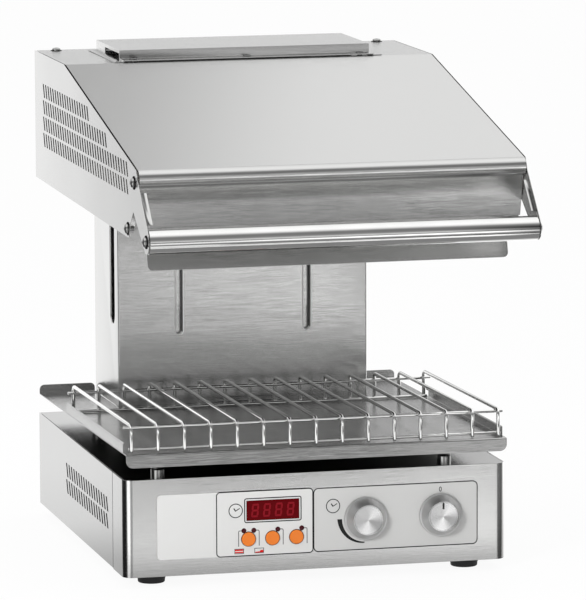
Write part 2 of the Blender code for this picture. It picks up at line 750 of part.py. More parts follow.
def make_board(skin, inside):
    """The circuit board, with its display block, lamps, button contacts and four posts, soldered up."""
    front = inside - BOARD_DEPTH
    left = min(LAMP_SIDES) - BOARD_MARGIN
    right = max(LAMP_SIDES) + BOARD_MARGIN
    top = OVERLAY_TOP - FIT
    board = box("control_board", left, right, front - BOARD_THICKNESS, front, BOARD_BOTTOM, top)
    sunk = front - BOARD_THICKNESS / 2
    extras = [box(
        "display_block",
        DISPLAY_SIDE - DISPLAY_HALF_WIDTH + FIT, DISPLAY_SIDE + DISPLAY_HALF_WIDTH - FIT,
        sunk, skin + OVERLAY - WINDOW_THICKNESS - FIT,
        DISPLAY_HEIGHT - DISPLAY_HALF_HEIGHT + FIT, DISPLAY_HEIGHT + DISPLAY_HALF_HEIGHT - FIT,
    )]
    for side in LAMP_SIDES:
        extras.append(rod(
            "lamp", (side, back(sunk), LAMP_HEIGHT), (side, back(skin + OVERLAY), LAMP_HEIGHT), LAMP_RADIUS
        ))
    for side in BUTTON_SIDES:
        extras.append(box(
            "contact", side - TACT_HALF, side + TACT_HALF, sunk, front + TACT_HEIGHT,
            BUTTON_HEIGHT - TACT_HALF, BUTTON_HEIGHT + TACT_HALF,
        ))
    for side in (left + BOARD_POST_RADIUS * 2, right - BOARD_POST_RADIUS * 2):
        for height in (BOARD_BOTTOM + BOARD_POST_RADIUS, top - BOARD_POST_RADIUS):
            extras.append(rod(
                "post", (side, back(sunk), height), (side, back(inside - FIT), height), BOARD_POST_RADIUS
            ))
    finish(fuse(board, *extras), (0.02, 0.14, 0.05), 0.5, 0.0)


def make_buttons(skin, inside):
    """Three round push buttons, each with a flange behind the panel and a stem to its contact."""
    proud = skin + OVERLAY + BUTTON_PROUD - inside
    stem = BOARD_DEPTH - TACT_HEIGHT - BUTTON_TRAVEL - FIT
    flange = FIT + BUTTON_FLANGE
    chamfer = BUTTON_PROUD / 4
    profile = [
        (0, proud), (BUTTON_RADIUS - chamfer, proud), (BUTTON_RADIUS, proud - chamfer), (BUTTON_RADIUS, -FIT),
        (BUTTON_FLANGE_RADIUS, -FIT), (BUTTON_FLANGE_RADIUS, -flange), (BUTTON_STEM_RADIUS, -flange),
        (BUTTON_STEM_RADIUS, -stem), (0, -stem),
    ]
    for name, side in zip(("left", "middle", "right"), BUTTON_SIDES):
        button = turned("button_" + name, profile, SMALL_STEPS)
        button.location = (side, back(inside), BUTTON_HEIGHT)
        button.rotation_euler = (math.pi / 2, 0, 0)
        finish(button, (0.95, 0.25, 0.02), 0.4, 0.0)


def make_knob(name, side, inside):
    """A turned knob with a skirt, the spindle in its bore, and the switch behind the panel."""
    skirt = KNOB_GAP + KNOB_SKIRT
    bore_radius = SPINDLE_RADIUS + FIT
    profile = [
        (0, KNOB_PROUD), (KNOB_FACE_RADIUS - KNOB_CHAMFER, KNOB_PROUD),
        (KNOB_FACE_RADIUS, KNOB_PROUD - KNOB_CHAMFER),
        (KNOB_GRIP_RADIUS, skirt), (KNOB_SKIRT_RADIUS - KNOB_CHAMFER, skirt),
        (KNOB_SKIRT_RADIUS, skirt - KNOB_CHAMFER), (KNOB_SKIRT_RADIUS, KNOB_GAP), (bore_radius, KNOB_GAP),
        (bore_radius, KNOB_BORE), (0, KNOB_BORE),
    ]
    knob = turned("knob_" + name, profile)
    knob.location = (side, back(BASE_FRONT), KNOB_HEIGHT)
    knob.rotation_euler = (math.pi / 2, 0, 0)
    finish(knob, BRIGHT_STEEL, 0.25, 1.0)

    switch_front = inside - FIT
    spindle_start = switch_front - SWITCH_BORE + FIT
    spindle = rod(
        "spindle_" + name, (0, back(spindle_start) - back(BASE_FRONT), 0), (0, FIT - KNOB_BORE, 0),
        SPINDLE_RADIUS,
    )
    spindle.location = (side, back(BASE_FRONT), KNOB_HEIGHT)
    finish(spindle, ZINC, 0.35, 1.0)

    body = box(
        "switch_" + name, side - SWITCH_HALF, side + SWITCH_HALF, switch_front - SWITCH_DEPTH, switch_front,
        KNOB_HEIGHT - SWITCH_HALF, KNOB_HEIGHT + SWITCH_HALF,
    )
    bore = rod(
        "bore_cut", (side, back(switch_front - SWITCH_BORE), KNOB_HEIGHT),
        (side, back(switch_front + OVERRUN), KNOB_HEIGHT), bore_radius,
    )
    finish(cut(body, bore), (0.75, 0.74, 0.70), 0.5, 0.0)


def make_terminals():
    """The terminal block on the floor, near the rear panel."""
    low = BASE_BOTTOM + PANEL_DROP + SHEET + FIT
    left = TERMINAL_SIDE - TERMINAL_LENGTH / 2
    block = box(
        "terminal_block", left, left + TERMINAL_LENGTH, TERMINAL_FROM_REAR,
        TERMINAL_FROM_REAR + TERMINAL_DEPTH, low, low + TERMINAL_HEIGHT,
    )
    step = TERMINAL_LENGTH / TERMINAL_POLES
    grooves = []
    for index in range(1, TERMINAL_POLES):
        middle = left + index * step
        grooves.append(box(
            "groove_cut", middle - TERMINAL_GROOVE / 2, middle + TERMINAL_GROOVE / 2,
            TERMINAL_FROM_REAR - OVERRUN, TERMINAL_FROM_REAR + TERMINAL_DEPTH + OVERRUN,
            low + TERMINAL_HEIGHT / 2, low + TERMINAL_HEIGHT + OVERRUN,
        ))
    finish(cut(block, *grooves), (0.80, 0.79, 0.75), 0.5, 0.0)


def tray_frame():
    """The empty at the tray's front bend, with +Y running back along the floor of the tray."""
    return empty("tray_frame", (0, back(TRAY_FRONT), TRAY_FRONT_HEIGHT), (-TRAY_TILT, 0, 0))


def place_in(holder, obj):
    """Parent an object whose mesh is drawn in the empty's own frame."""
    obj.parent = holder
    return obj


def make_tray(holder):
    """The tray: floor with a notch for the column, front apron, side rims and rear rims."""
    half = TRAY_WIDTH / 2
    notch = COLUMN_HALF + TRAY_NOTCH_GAP
    depth = TRAY_FRONT - COLUMN_FRONT - TRAY_NOTCH_GAP
    outline = [
        (-half, 0), (half, 0), (half, TRAY_DEPTH), (notch, TRAY_DEPTH), (notch, depth), (-notch, depth),
        (-notch, TRAY_DEPTH), (-half, TRAY_DEPTH),
    ]
    tray = plate("tray", outline, SHEET, along_z(-SHEET, 0))
    apron = fillet(rectangle(-half, half, -APRON_DROP, 0), (APRON_CORNER, APRON_CORNER, 0, 0))
    rims = [plate("apron", apron, SHEET, upright(0, SHEET))]
    for side in (-1, 1):
        edges = sorted((side * half, side * (half - SHEET)))
        length = rectangle(SIDE_RIM_START, SIDE_RIM_START + SIDE_RIM_LENGTH, -SHEET, SIDE_RIM_HEIGHT)
        rims.append(plate("side_rim", length, SHEET, along_x(*edges)))
        edges = sorted((side * half, side * notch))
        corner = fillet(rectangle(*edges, -SHEET, REAR_RIM_HEIGHT), (0, 0, REAR_RIM_CORNER, REAR_RIM_CORNER))
        rims.append(plate("rear_rim", corner, SHEET, upright(TRAY_DEPTH - SHEET, TRAY_DEPTH)))
    finish(place_in(holder, fuse(tray, *rims)), STEEL, 0.28, 1.0)


def make_posts():
    """Four posts that hold the tray off the top of the base, as tall as the tray's slope leaves them."""
    for row, depth in (("front", POST_FRONT_DEPTH), ("rear", POST_REAR_DEPTH)):
        run = TRAY_FRONT - depth + POST_RADIUS
        under = TRAY_FRONT_HEIGHT - (SHEET + FIT) / math.cos(TRAY_TILT) - run * math.tan(TRAY_TILT)
        for name, side in (("left", -1), ("right", 1)):
            place = (side * POST_SIDE, back(depth))
            post = rod(
                "tray_post_%s_%s" % (row, name), (*place, BASE_TOP + FIT), (*place, under), POST_RADIUS,
                MEDIUM_STEPS,
            )
            finish(post, BRIGHT_STEEL, 0.2, 1.0)


def wire(name, points, radius):
    """A wire along points, with its ends closed."""
    curve = bpy.data.curves.new(name, "CURVE")
    curve.dimensions = "3D"
    curve.bevel_depth = radius
    curve.bevel_resolution = WIRE_ROUNDNESS
    curve.use_fill_caps = True
    spline = curve.splines.new("POLY")
    spline.points.add(len(points) - 1)
    for point, place in zip(spline.points, points):
        point.co = (*place, 1)
    return mesh_from_curve(name, curve, Matrix.Identity(4))


def make_rack(holder):
    """The wire rack: long wires bent down at both ends, welded to four cross wires."""
    foot = FIT + RACK_WIRE_RADIUS / 2
    front, rear = RACK_START, RACK_START + RACK_LENGTH
    profile = fillet(
        [(front, foot), (front, RACK_HEIGHT), (rear, RACK_HEIGHT), (rear, foot)],
        (0, RACK_BEND, RACK_BEND, 0), closed=False, steps=BEND_STEPS,
    )
    reach = (RACK_WIRE_COUNT - 1) / 2 * RACK_PITCH
    beside = RACK_WIRE_RADIUS + RACK_CROSS_RADIUS - RACK_WELD
    low = FIT + RACK_CROSS_RADIUS
    cross_places = (
        (front + CROSS_TOP_BACK, RACK_HEIGHT - beside, CROSS_STUB_HIGH),
        (front + beside, low, CROSS_STUB_LOW),
        (rear - beside, RACK_HEIGHT - CROSS_REAR_DROP, CROSS_STUB_HIGH),
        (rear - beside, low, CROSS_STUB_LOW),
    )
    wires = []
    for index in range(RACK_WIRE_COUNT):
        x = index * RACK_PITCH - reach
        wires.append(wire("wire_rack", [(x, y, z) for y, z in profile], RACK_WIRE_RADIUS))
    for y, z, stub in cross_places:
        ends = (-reach - stub, reach + stub)
        wires.append(wire("cross_wire", [(x, y, z) for x in ends], RACK_CROSS_RADIUS))
    crossings = wires[RACK_WIRE_COUNT:]
    rack = crossings[0]
    rack = fuse(rack, *wires[:RACK_WIRE_COUNT], *crossings[1:])
    rack.name = "wire_rack"
    finish(place_in(holder, rack), BRIGHT_STEEL, 0.15, 1.0)


def make_column():
    """The column: folded shell with slots, rear cover, foot plate and top plate."""
    low = BASE_TOP + FIT
    rear, front = back(COLUMN_REAR), back(COLUMN_FRONT)
    corners = [(-COLUMN_HALF, rear), (-COLUMN_HALF, front), (COLUMN_HALF, front), (COLUMN_HALF, rear)]
    bend = fillet(corners, (0, COLUMN_BEND, COLUMN_BEND, 0), closed=False, steps=BEND_STEPS)
    shell = folded("column_shell", bend, SHEET, COLUMN_TOP - low, along_z(low, COLUMN_TOP))
    near, far = COLUMN_FRONT - SHEET - OVERRUN, COLUMN_FRONT + OVERRUN
    depth = far - near
    top = COLUMN_TOP + OVERRUN
    cuts = []
    for side in (-1, 1):
        cuts.append(plate(
            "slot_cut", slot_outline(side * SLOT_SIDE, SLOT_WIDTH, SLOT_BOTTOM, top), depth, along_y(near, far)
        ))
        middle = back((SIDE_SLOT_FRONT + SIDE_SLOT_REAR) / 2)
        width = SIDE_SLOT_FRONT - SIDE_SLOT_REAR
        edge = side * (COLUMN_HALF - SHEET / 2)
        edges = (edge - SHEET / 2 - OVERRUN, edge + SHEET / 2 + OVERRUN)
        cuts.append(plate(
            "slot_cut", slot_outline(middle, width, SIDE_SLOT_BOTTOM, top), edges[1] - edges[0],
            along_x(*edges),
        ))
        place = side * PLUG_SIDE
        cuts.append(rod(
            "hole_cut", (place, back(near), PLUG_HEIGHT), (place, back(far), PLUG_HEIGHT), PLUG_RADIUS,
            ROUND_STEPS,
        ))
    cuts.append(plate(
        "slot_cut", capsule(0, LONG_SLOT_HEIGHT, LONG_SLOT_LENGTH, LONG_SLOT_WIDTH), depth, along_y(near, far)
    ))
    finish(cut(shell, *cuts), STEEL, 0.30, 1.0)

    half = COLUMN_HALF - SHEET - FIT
    cover = plate(
        "column_rear_cover", rectangle(-half, half, low, COLUMN_TOP), SHEET,
        along_y(COLUMN_REAR, COLUMN_REAR + SHEET),
    )
    inner = COLUMN_REAR + SHEET + FIT
    way = circle(CABLE_HOLE_SIDE, back(COLUMN_FRONT / 2), CABLE_HOLE_RADIUS)
    foot = plate(
        "column_foot_plate",
        rectangle(-half, half, back(COLUMN_FRONT - SHEET - FIT), back(inner)), FOOT_PLATE,
        along_z(low, low + FOOT_PLATE), [way],
    )
    top = plate(
        "column_top_plate", rectangle(-half, half, back(inner + TOP_PLATE_DEPTH), back(inner)), TOP_PLATE,
        along_z(COLUMN_TOP - FIT - TOP_PLATE, COLUMN_TOP - FIT),
    )
    for piece in (cover, foot, top):
        finish(piece, ZINC, 0.40, 1.0)


def slot_outline(middle, width, bottom, top):
    """A slot that is open at the top and round at the bottom."""
    radius = width / 2
    points = [(middle + radius, top), (middle - radius, top)]
    for step in range(ARC_STEPS + 1):
        turn = math.pi * (1 + step / ARC_STEPS)
        points.append((middle + radius * math.cos(turn), bottom + radius + radius * math.sin(turn)))
    return points


def make_lift():
    """What carries the hood in the column: guide rods, bushes, carriage and gas spring."""
    floor = BASE_TOP + FIT + FOOT_PLATE + FIT
    ceiling = COLUMN_TOP - FIT - TOP_PLATE - FIT
    block_back = CARRIAGE_BLOCK_BACK
    bush_low = CARRIAGE_BOTTOM + FIT
    bush_radius = ROD_RADIUS + FIT + BUSH_WALL
    moving = []
    carriage = box(
        "carriage", -CARRIAGE_HALF_WIDTH, CARRIAGE_HALF_WIDTH, CARRIAGE_DEPTH,
        CARRIAGE_DEPTH + CARRIAGE_PLATE, CARRIAGE_BOTTOM, CARRIAGE_TOP,
    )
    extras = []
    bores = []
    inside_plate = CARRIAGE_DEPTH + CARRIAGE_PLATE / 2
    lug_middle = (SIDE_SLOT_FRONT + SIDE_SLOT_REAR) / 2
    for name, side in (("left", -1), ("right", 1)):
        x = side * ROD_SIDE
        fixed = rod("guide_rod_" + name, (x, back(ROD_DEPTH), floor), (x, back(ROD_DEPTH), ceiling), ROD_RADIUS,
                    MEDIUM_STEPS)
        finish(fixed, BRIGHT_STEEL, 0.15, 1.0)
        profile = [
            (ROD_RADIUS + FIT, bush_low + BUSH_LENGTH), (bush_radius, bush_low + BUSH_LENGTH),
            (bush_radius, bush_low), (ROD_RADIUS + FIT, bush_low),
        ]
        bush = turned("guide_bush_" + name, profile, MEDIUM_STEPS)
        bush.location = (x, back(ROD_DEPTH), 0)
        moving.append(finish(bush, (0.65, 0.52, 0.25), 0.35, 1.0))
        extras.append(box(
            "block", x - CARRIAGE_BLOCK_HALF, x + CARRIAGE_BLOCK_HALF, block_back, inside_plate,
            CARRIAGE_BOTTOM, bush_low + BUSH_LENGTH,
        ))
        bores.append(rod(
            "bore_cut", (x, back(ROD_DEPTH), CARRIAGE_BOTTOM - OVERRUN),
            (x, back(ROD_DEPTH), bush_low + BUSH_LENGTH + OVERRUN), bush_radius + FIT, MEDIUM_STEPS,
        ))
        reach = sorted((side * (CARRIAGE_HALF_WIDTH - LUG_DEPTH), side * (HOOD_INNER - FIT)))
        extras.append(box(
            "lug", *reach, lug_middle - LUG_DEPTH / 2, lug_middle + LUG_DEPTH / 2, LUG_BOTTOM, CARRIAGE_TOP
        ))
        middle = side * SLOT_SIDE
        extras.append(box(
            "arm", middle - ARM_THICKNESS / 2, middle + ARM_THICKNESS / 2, inside_plate, FRAME_REAR - FIT,
            LUG_BOTTOM, CARRIAGE_TOP,
        ))
    gas_low = CARRIAGE_TOP - GAS_LUG_HEIGHT
    extras.append(box(
        "gas_lug", -GAS_LUG_HALF, GAS_LUG_HALF, GAS_DEPTH - GAS_LUG_HALF, inside_plate, gas_low, CARRIAGE_TOP
    ))
    carriage = cut(fuse(carriage, *extras), *bores)
    moving.append(finish(carriage, ZINC, 0.40, 1.0))

    inner = GAS_ROD_RADIUS + FIT
    cylinder_top = floor + GAS_CYLINDER_LENGTH
    cylinder = cut(
        rod("gas_spring_cylinder", (0, back(GAS_DEPTH), floor), (0, back(GAS_DEPTH), cylinder_top),
            GAS_CYLINDER_RADIUS, MEDIUM_STEPS),
        rod("bore_cut", (0, back(GAS_DEPTH), floor + GAS_BASE), (0, back(GAS_DEPTH), cylinder_top + OVERRUN),
            inner),
    )
    finish(cylinder, BLACK, 0.35, 0.0)
    piston = rod(
        "gas_spring_rod", (0, back(GAS_DEPTH), cylinder_top - GAS_ENGAGED), (0, back(GAS_DEPTH), gas_low - FIT),
        GAS_ROD_RADIUS,
    )
    moving.append(finish(piston, BRIGHT_STEEL, 0.12, 1.0))
    return moving


def tangent(centre, radius, point, side):
    """Where a line from a point touches a circle, on one side of it."""
    centre, point = Vector(centre), Vector(point)
    run = centre - point
    reach = math.sqrt(run.length_squared - radius ** 2)
    turn = side * math.asin(radius / run.length)
    return point + Matrix.Rotation(turn, 2) @ run.normalized() * reach


def arm_tangents():
    """Where the front edge and the rear edge of the arm meet the round end at the handle."""
    centre = (back(HANDLE_DEPTH), HANDLE_HEIGHT)
    cheek = (back(CHEEK_DEPTH), CHEEK_HEIGHT)
    apex = (back(NOTCH_APEX_DEPTH), NOTCH_APEX_HEIGHT)
    front = tangent(centre, HANDLE_RADIUS, cheek, -1)
    rear = tangent(centre, HANDLE_RADIUS, apex, 1)
    return front, rear


def hood_side_outline():
    """The hood's side plate as (y, z) points: body, sloping top, arm round the handle's end, notch."""
    front, rear = arm_tangents()
    centre = Vector((back(HANDLE_DEPTH), HANDLE_HEIGHT))
    start = math.atan2(*(front - centre).yx)
    sweep = (math.atan2(*(rear - centre).yx) - start) % math.tau
    points = [
        (back(0), HOOD_REAR_BOTTOM), (back(0), HOOD_TOP), (back(HOOD_TOP_FRONT), HOOD_TOP),
        (back(HOOD_NOSE_DEPTH), HOOD_NOSE_HEIGHT), (back(CHEEK_DEPTH), CHEEK_HEIGHT),
    ]
    for step in range(2 * ARC_STEPS + 1):
        turn = start + sweep * step / (2 * ARC_STEPS)
        points.append(tuple(centre + Vector((math.cos(turn), math.sin(turn))) * HANDLE_RADIUS))
    points += [
        (back(NOTCH_APEX_DEPTH), NOTCH_APEX_HEIGHT), (back(NOTCH_BACK_DEPTH), NOTCH_BACK_HEIGHT),
        (back(BODY_CORNER_DEPTH), HOOD_FRONT_BOTTOM),
    ]
    return points


def screw_places():
    """Name, depth and height of each screw in a side plate."""
    return (
        ("nose", SCREW_NOSE_DEPTH, SCREW_NOSE_HEIGHT),
        ("body", SCREW_BODY_DEPTH, SCREW_BODY_HEIGHT),
        ("handle", HANDLE_DEPTH, HANDLE_HEIGHT),
    )


def make_hood_sides():
    """The two side plates with vents, screw holes, and a flange turned in along the arm."""
    holes = []
    for row, clearance in enumerate(HOOD_VENT_CLEARANCES):
        top = HOOD_VENT_TOP - row * VENT_ROW_PITCH
        slope_share = (HOOD_TOP - top) / HOOD_SLOPE_DROP
        slope_depth = HOOD_TOP_FRONT + slope_share * (HOOD_NOSE_DEPTH - HOOD_TOP_FRONT)
        room = min(slope_depth, HOOD_NOSE_DEPTH) - clearance - HOOD_VENT_START
        holes += vent_row(HOOD_VENT_START, top, int(room / VENT_PITCH))
    for _, depth, height in screw_places():
        holes.append(circle(back(depth), height, SCREW_SHANK_RADIUS + FIT))
    front, _ = arm_tangents()
    cheek = Vector((back(CHEEK_DEPTH), CHEEK_HEIGHT))
    clear = (front - cheek).normalized() * HANDLE_RADIUS
    line = offset_line([tuple(cheek + clear), tuple(front - clear)], FIT)
    made = []
    for name, side in (("hood_left_side", -1), ("hood_right_side", 1)):
        edges = sorted((side * HOOD_HALF, side * HOOD_INNER))
        side_plate = plate(name, hood_side_outline(), SIDE_SHEET, along_x(*edges), holes)
        edges = sorted((side * (HOOD_HALF - SIDE_SHEET / 2), side * (HOOD_HALF - ARM_FLANGE)))
        strip = folded("arm_flange", line, SIDE_SHEET, edges[1] - edges[0], along_x(*edges))
        # The exact solver opens a plate with this many slots, so the other one joins the flange
        whole = combine(side_plate, [strip], "UNION", "MANIFOLD")
        made.append(finish(whole, STEEL, 0.30, 1.0))
    return made


def make_hood_shell():
    """The sheets between the side plates: top and slope, nose and front, rear."""
    half = HOOD_INNER - EDGE_GAP
    top_line = [
        (back(0), HOOD_TOP), (back(HOOD_TOP_FRONT), HOOD_TOP), (back(HOOD_NOSE_DEPTH), HOOD_NOSE_HEIGHT),
    ]
    top = folded("hood_top_panel", top_line, SHEET, 2 * half, along_x(-half, half))

    slope = (Vector(top_line[2]) - Vector(top_line[1])).normalized()
    under = Vector((-slope.y, slope.x))
    start = Vector(top_line[2]) + under * (SHEET + FIT)
    centre = start + under * NOSE_RADIUS
    line = [tuple(start - slope * NOSE_LEG)]
    first = math.atan2(-under.y, -under.x)
    last = 1.5 * math.pi
    for step in range(2 * ARC_STEPS + 1):
        turn = first + (last - first) * step / (2 * ARC_STEPS)
        line.append(tuple(centre + Vector((math.cos(turn), math.sin(turn))) * NOSE_RADIUS))
    nose_bottom = line[-1]
    line.append((nose_bottom[0] + NOSE_STEP - NOSE_RADIUS, nose_bottom[1]))
    line.append((back(FRONT_PANEL_DEPTH), FRONT_PANEL_BOTTOM))
    line.append((back(FRONT_PANEL_DEPTH - FRONT_PANEL_RETURN), FRONT_PANEL_BOTTOM))
    front = folded("hood_front_panel", line, SHEET, 2 * half, along_x(-half, half))

    rear = plate(
        "hood_rear_panel", rectangle(-half, half, HOOD_REAR_BOTTOM, HOOD_TOP - SHEET - FIT), SHEET,
        along_y(0, SHEET),
    )
    return [finish(piece, STEEL, 0.30, 1.0) for piece in (top, front, rear)]


def make_vent_cap():
    """The low lid over the vent in the hood's top, with open ends and a flange in front and at the sides."""
    low = HOOD_TOP + FIT
    top = low + CAP_HEIGHT
    half = CAP_WIDTH / 2
    front_line = [
        (back(CAP_REAR), low), (back(CAP_REAR), top), (back(CAP_FRONT), top), (back(CAP_FRONT), low + SHEET),
        (back(CAP_FRONT + CAP_FLANGE), low + SHEET),
    ]
    cap = folded("vent_cap", front_line, -SHEET, CAP_WIDTH, along_x(-half, half))
    opening = CAP_FRONT - (CAP_FRONT - CAP_REAR) * CAP_OPENING_SHARE
    end = [
        (back(CAP_REAR), low), (back(CAP_REAR), top), (back(CAP_FRONT), top), (back(CAP_FRONT), low),
        (back(CAP_FRONT - SHEET), low), (back(CAP_FRONT - SHEET), top - SHEET - CAP_RIM),
        (back(opening), top - SHEET - CAP_RIM), (back(opening), low),
    ]
    extras = []
    for side in (-1, 1):
        edges = sorted((side * half, side * (half - SHEET)))
        extras.append(plate("cap_end", end, SHEET, along_x(*edges)))
        edges = sorted((side * (half - SHEET), side * (half + CAP_FLANGE_SIDE)))
        extras.append(box("cap_flange", *edges, CAP_REAR, CAP_FRONT + CAP_FLANGE, low, low + SHEET))
    return finish(fuse(cap, *extras), STEEL, 0.30, 1.0)


def make_handle():
    """The handle: a tube between the arms, with a plug in each end that takes the screw."""
    half = HOOD_INNER - FIT
    hole = SCREW_SHANK_RADIUS + FIT
    inner = HANDLE_RADIUS - HANDLE_WALL
    profile = [
        (hole, half), (HANDLE_RADIUS, half), (HANDLE_RADIUS, -half), (hole, -half), (hole, HANDLE_PLUG - half),
        (inner, HANDLE_PLUG - half), (inner, half - HANDLE_PLUG), (hole, half - HANDLE_PLUG),
    ]
    handle = turned("handle_tube", profile, ROUND_STEPS)
    stand(handle, Matrix.Rotation(math.pi / 2, 4, "Y"))
    stand(handle, Matrix.Translation((0, back(HANDLE_DEPTH), HANDLE_HEIGHT)))
    return finish(handle, BRIGHT_STEEL, 0.18, 1.0)


def make_screws():
    """Round-headed socket screws in the side plates, six in all."""
    reach = SIDE_SHEET + SCREW_LENGTH
    shoulder = SCREW_HEAD_HEIGHT / 3
    profile = [
        (0, SCREW_HEAD_HEIGHT - SCREW_SOCKET_DEPTH),
        (SCREW_SOCKET_RADIUS, SCREW_HEAD_HEIGHT - SCREW_SOCKET_DEPTH),
        (SCREW_SOCKET_RADIUS, SCREW_HEAD_HEIGHT),
    ]
    for step in range(BEND_STEPS):
        turn = math.pi / 2 * (step + 1) / BEND_STEPS
        radius = SCREW_SOCKET_RADIUS + (SCREW_HEAD_RADIUS - SCREW_SOCKET_RADIUS) * math.sin(turn)
        profile.append((radius, shoulder + (SCREW_HEAD_HEIGHT - shoulder) * math.cos(turn)))
    profile += [(SCREW_HEAD_RADIUS, 0), (SCREW_SHANK_RADIUS, 0), (SCREW_SHANK_RADIUS, -reach), (0, -reach)]
    made = []
    for place, depth, height in screw_places():
        for name, side in (("left", -1), ("right", 1)):
            screw = turned("screw_%s_%s" % (place, name), profile, SMALL_STEPS)
            stand(screw, face_side(side * (HOOD_HALF + FIT), depth, height, side))
            made.append(finish(screw, BRIGHT_STEEL, 0.2, 1.0))
    return made


def make_heater():
    """The heater: frame with a lip in front, glass, insulating board and two elements."""
    low, high = FRAME_BOTTOM, FRAME_TOP
    outer = rectangle(-FRAME_HALF_WIDTH, FRAME_HALF_WIDTH, back(FRAME_FRONT), back(FRAME_REAR))
    inner_half = FRAME_HALF_WIDTH - SHEET
    inner_front, inner_rear = FRAME_FRONT - SHEET, FRAME_REAR + SHEET
    inner = rectangle(-inner_half, inner_half, back(inner_front), back(inner_rear))
    frame = plate("heater_frame", outer, high - low, along_z(low, high), [inner])
    ledge = rectangle(
        FRAME_LEDGE - FRAME_HALF_WIDTH, FRAME_HALF_WIDTH - FRAME_LEDGE,
        back(FRAME_FRONT - FRAME_LEDGE), back(FRAME_REAR + FRAME_LEDGE),
    )
    extras = [plate("ledge", outer, SHEET, along_z(low, low + SHEET), [ledge])]
    for side in (-1, 1):
        edges = sorted((side * inner_half, side * (HOOD_INNER - FIT)))
        extras.append(box("side_flange", *edges, FRAME_REAR, FRAME_FRONT, high - SHEET, high))

    top = Vector((back(FRAME_FRONT), low + SHEET))
    foot = Vector((back(LIP_DEPTH), LIP_BOTTOM))
    length = (foot - top).length
    outline = fillet(
        rectangle(-FRAME_HALF_WIDTH, FRAME_HALF_WIDTH, -length, 0), (LIP_CORNER, LIP_CORNER, 0, 0)
    )
    lean = math.atan2(top.x - foot.x, top.y - foot.y)
    lip = plate("lip", outline, SHEET, upright(0, SHEET))
    stand(lip, Matrix.Translation((0, top.x, top.y)) @ Matrix.Rotation(-lean, 4, "X"))
    extras.append(lip)
    made = [finish(fuse(frame, *extras), STEEL, 0.35, 1.0)]

    room = (
        -inner_half + FIT, inner_half - FIT, inner_rear + FIT, inner_front - FIT,
    )
    glass_low = low + SHEET + FIT
    glass = box("glass_panel", *room, glass_low, glass_low + GLASS_THICKNESS)
    made.append(finish(glass, (0.01, 0.008, 0.008), 0.08, 0.0))
    board_low = high - BOARD_HEIGHT
    board = box("insulating_board", *room, board_low, high)
    made.append(finish(board, (0.75, 0.73, 0.68), 0.9, 0.0))
    height = board_low - FIT - ELEMENT_RADIUS
    for name, side in (("left", -1), ("right", 1)):
        made.append(make_element("heating_element_" + name, side * ELEMENT_SIDE, height))
    return made


def make_element(name, middle, height):
    """A tubular element that runs forward and back, with round turns at both ends."""
    ends = (back(FRAME_REAR + ELEMENT_MARGIN), back(FRAME_FRONT - ELEMENT_MARGIN))
    radius = ELEMENT_RUN_PITCH / 2 - FIT
    first = middle - (ELEMENT_RUNS - 1) / 2 * ELEMENT_RUN_PITCH
    corners = []
    for run in range(ELEMENT_RUNS):
        x = first + run * ELEMENT_RUN_PITCH
        start, end = ends if run % 2 == 0 else ends[::-1]
        corners += [(x, start), (x, end)]
    radii = [0] + [radius] * (len(corners) - 2) + [0]
    line = fillet(corners, radii, closed=False, steps=BEND_STEPS)
    path = [(x, y, height) for x, y in line]
    return finish(wire(name, path, ELEMENT_RADIUS), (0.10, 0.09, 0.09), 0.5, 1.0)


def main():
    """Build every piece in an empty scene."""
    for obj in list(bpy.data.objects):
        bpy.data.objects.remove(obj)
    bpy.context.scene.collection.children.link(COLLECTION)
    bpy.context.scene.collection.children.link(CUTTERS)
    make_base()
    make_feet()
    make_gland()
    make_controls()
    holder = tray_frame()
    make_tray(holder)
    make_rack(holder)
    make_posts()
    make_column()
    lifted = make_lift()
    lifted += make_hood_sides()
    lifted += make_hood_shell()
    lifted += [make_vent_cap(), make_handle()]
    lifted += make_screws()
    lifted += make_heater()
    hang_from(empty("hood_lift", (0, back(ROD_DEPTH), CARRIAGE_BOTTOM)), lifted)


main()
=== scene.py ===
"""Looks of the lift salamander grill: sheets, wires, knobs and controls round the frame, and its studio.

Metres, in the frame's own axes: X to the right, Z up, the front faces -Y.
"""

import json
import math

import bmesh
import bpy
import numpy as np
from mathutils import Matrix, Vector

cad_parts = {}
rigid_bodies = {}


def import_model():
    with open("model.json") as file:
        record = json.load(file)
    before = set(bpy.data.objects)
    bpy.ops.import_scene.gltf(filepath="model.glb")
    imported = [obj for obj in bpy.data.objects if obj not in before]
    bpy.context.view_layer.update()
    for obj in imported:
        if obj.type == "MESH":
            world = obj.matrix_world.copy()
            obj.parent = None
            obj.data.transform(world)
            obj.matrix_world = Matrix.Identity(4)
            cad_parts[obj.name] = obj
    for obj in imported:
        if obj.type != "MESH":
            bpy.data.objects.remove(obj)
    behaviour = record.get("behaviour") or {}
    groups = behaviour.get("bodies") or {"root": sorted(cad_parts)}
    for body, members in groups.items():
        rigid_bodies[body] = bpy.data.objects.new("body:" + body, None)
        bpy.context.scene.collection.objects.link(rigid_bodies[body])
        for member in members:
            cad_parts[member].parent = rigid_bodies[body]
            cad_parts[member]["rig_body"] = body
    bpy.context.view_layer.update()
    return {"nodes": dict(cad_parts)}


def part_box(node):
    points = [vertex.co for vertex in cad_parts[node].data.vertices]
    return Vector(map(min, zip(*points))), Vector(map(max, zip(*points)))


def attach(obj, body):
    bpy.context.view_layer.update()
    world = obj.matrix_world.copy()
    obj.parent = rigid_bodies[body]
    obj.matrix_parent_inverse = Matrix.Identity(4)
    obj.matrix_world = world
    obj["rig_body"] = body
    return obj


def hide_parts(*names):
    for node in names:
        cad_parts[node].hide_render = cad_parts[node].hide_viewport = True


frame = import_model()
NODES = frame["nodes"]

# Directions of turned pieces
FRONT = (0, -1, 0)
UP = (0, 0, 1)

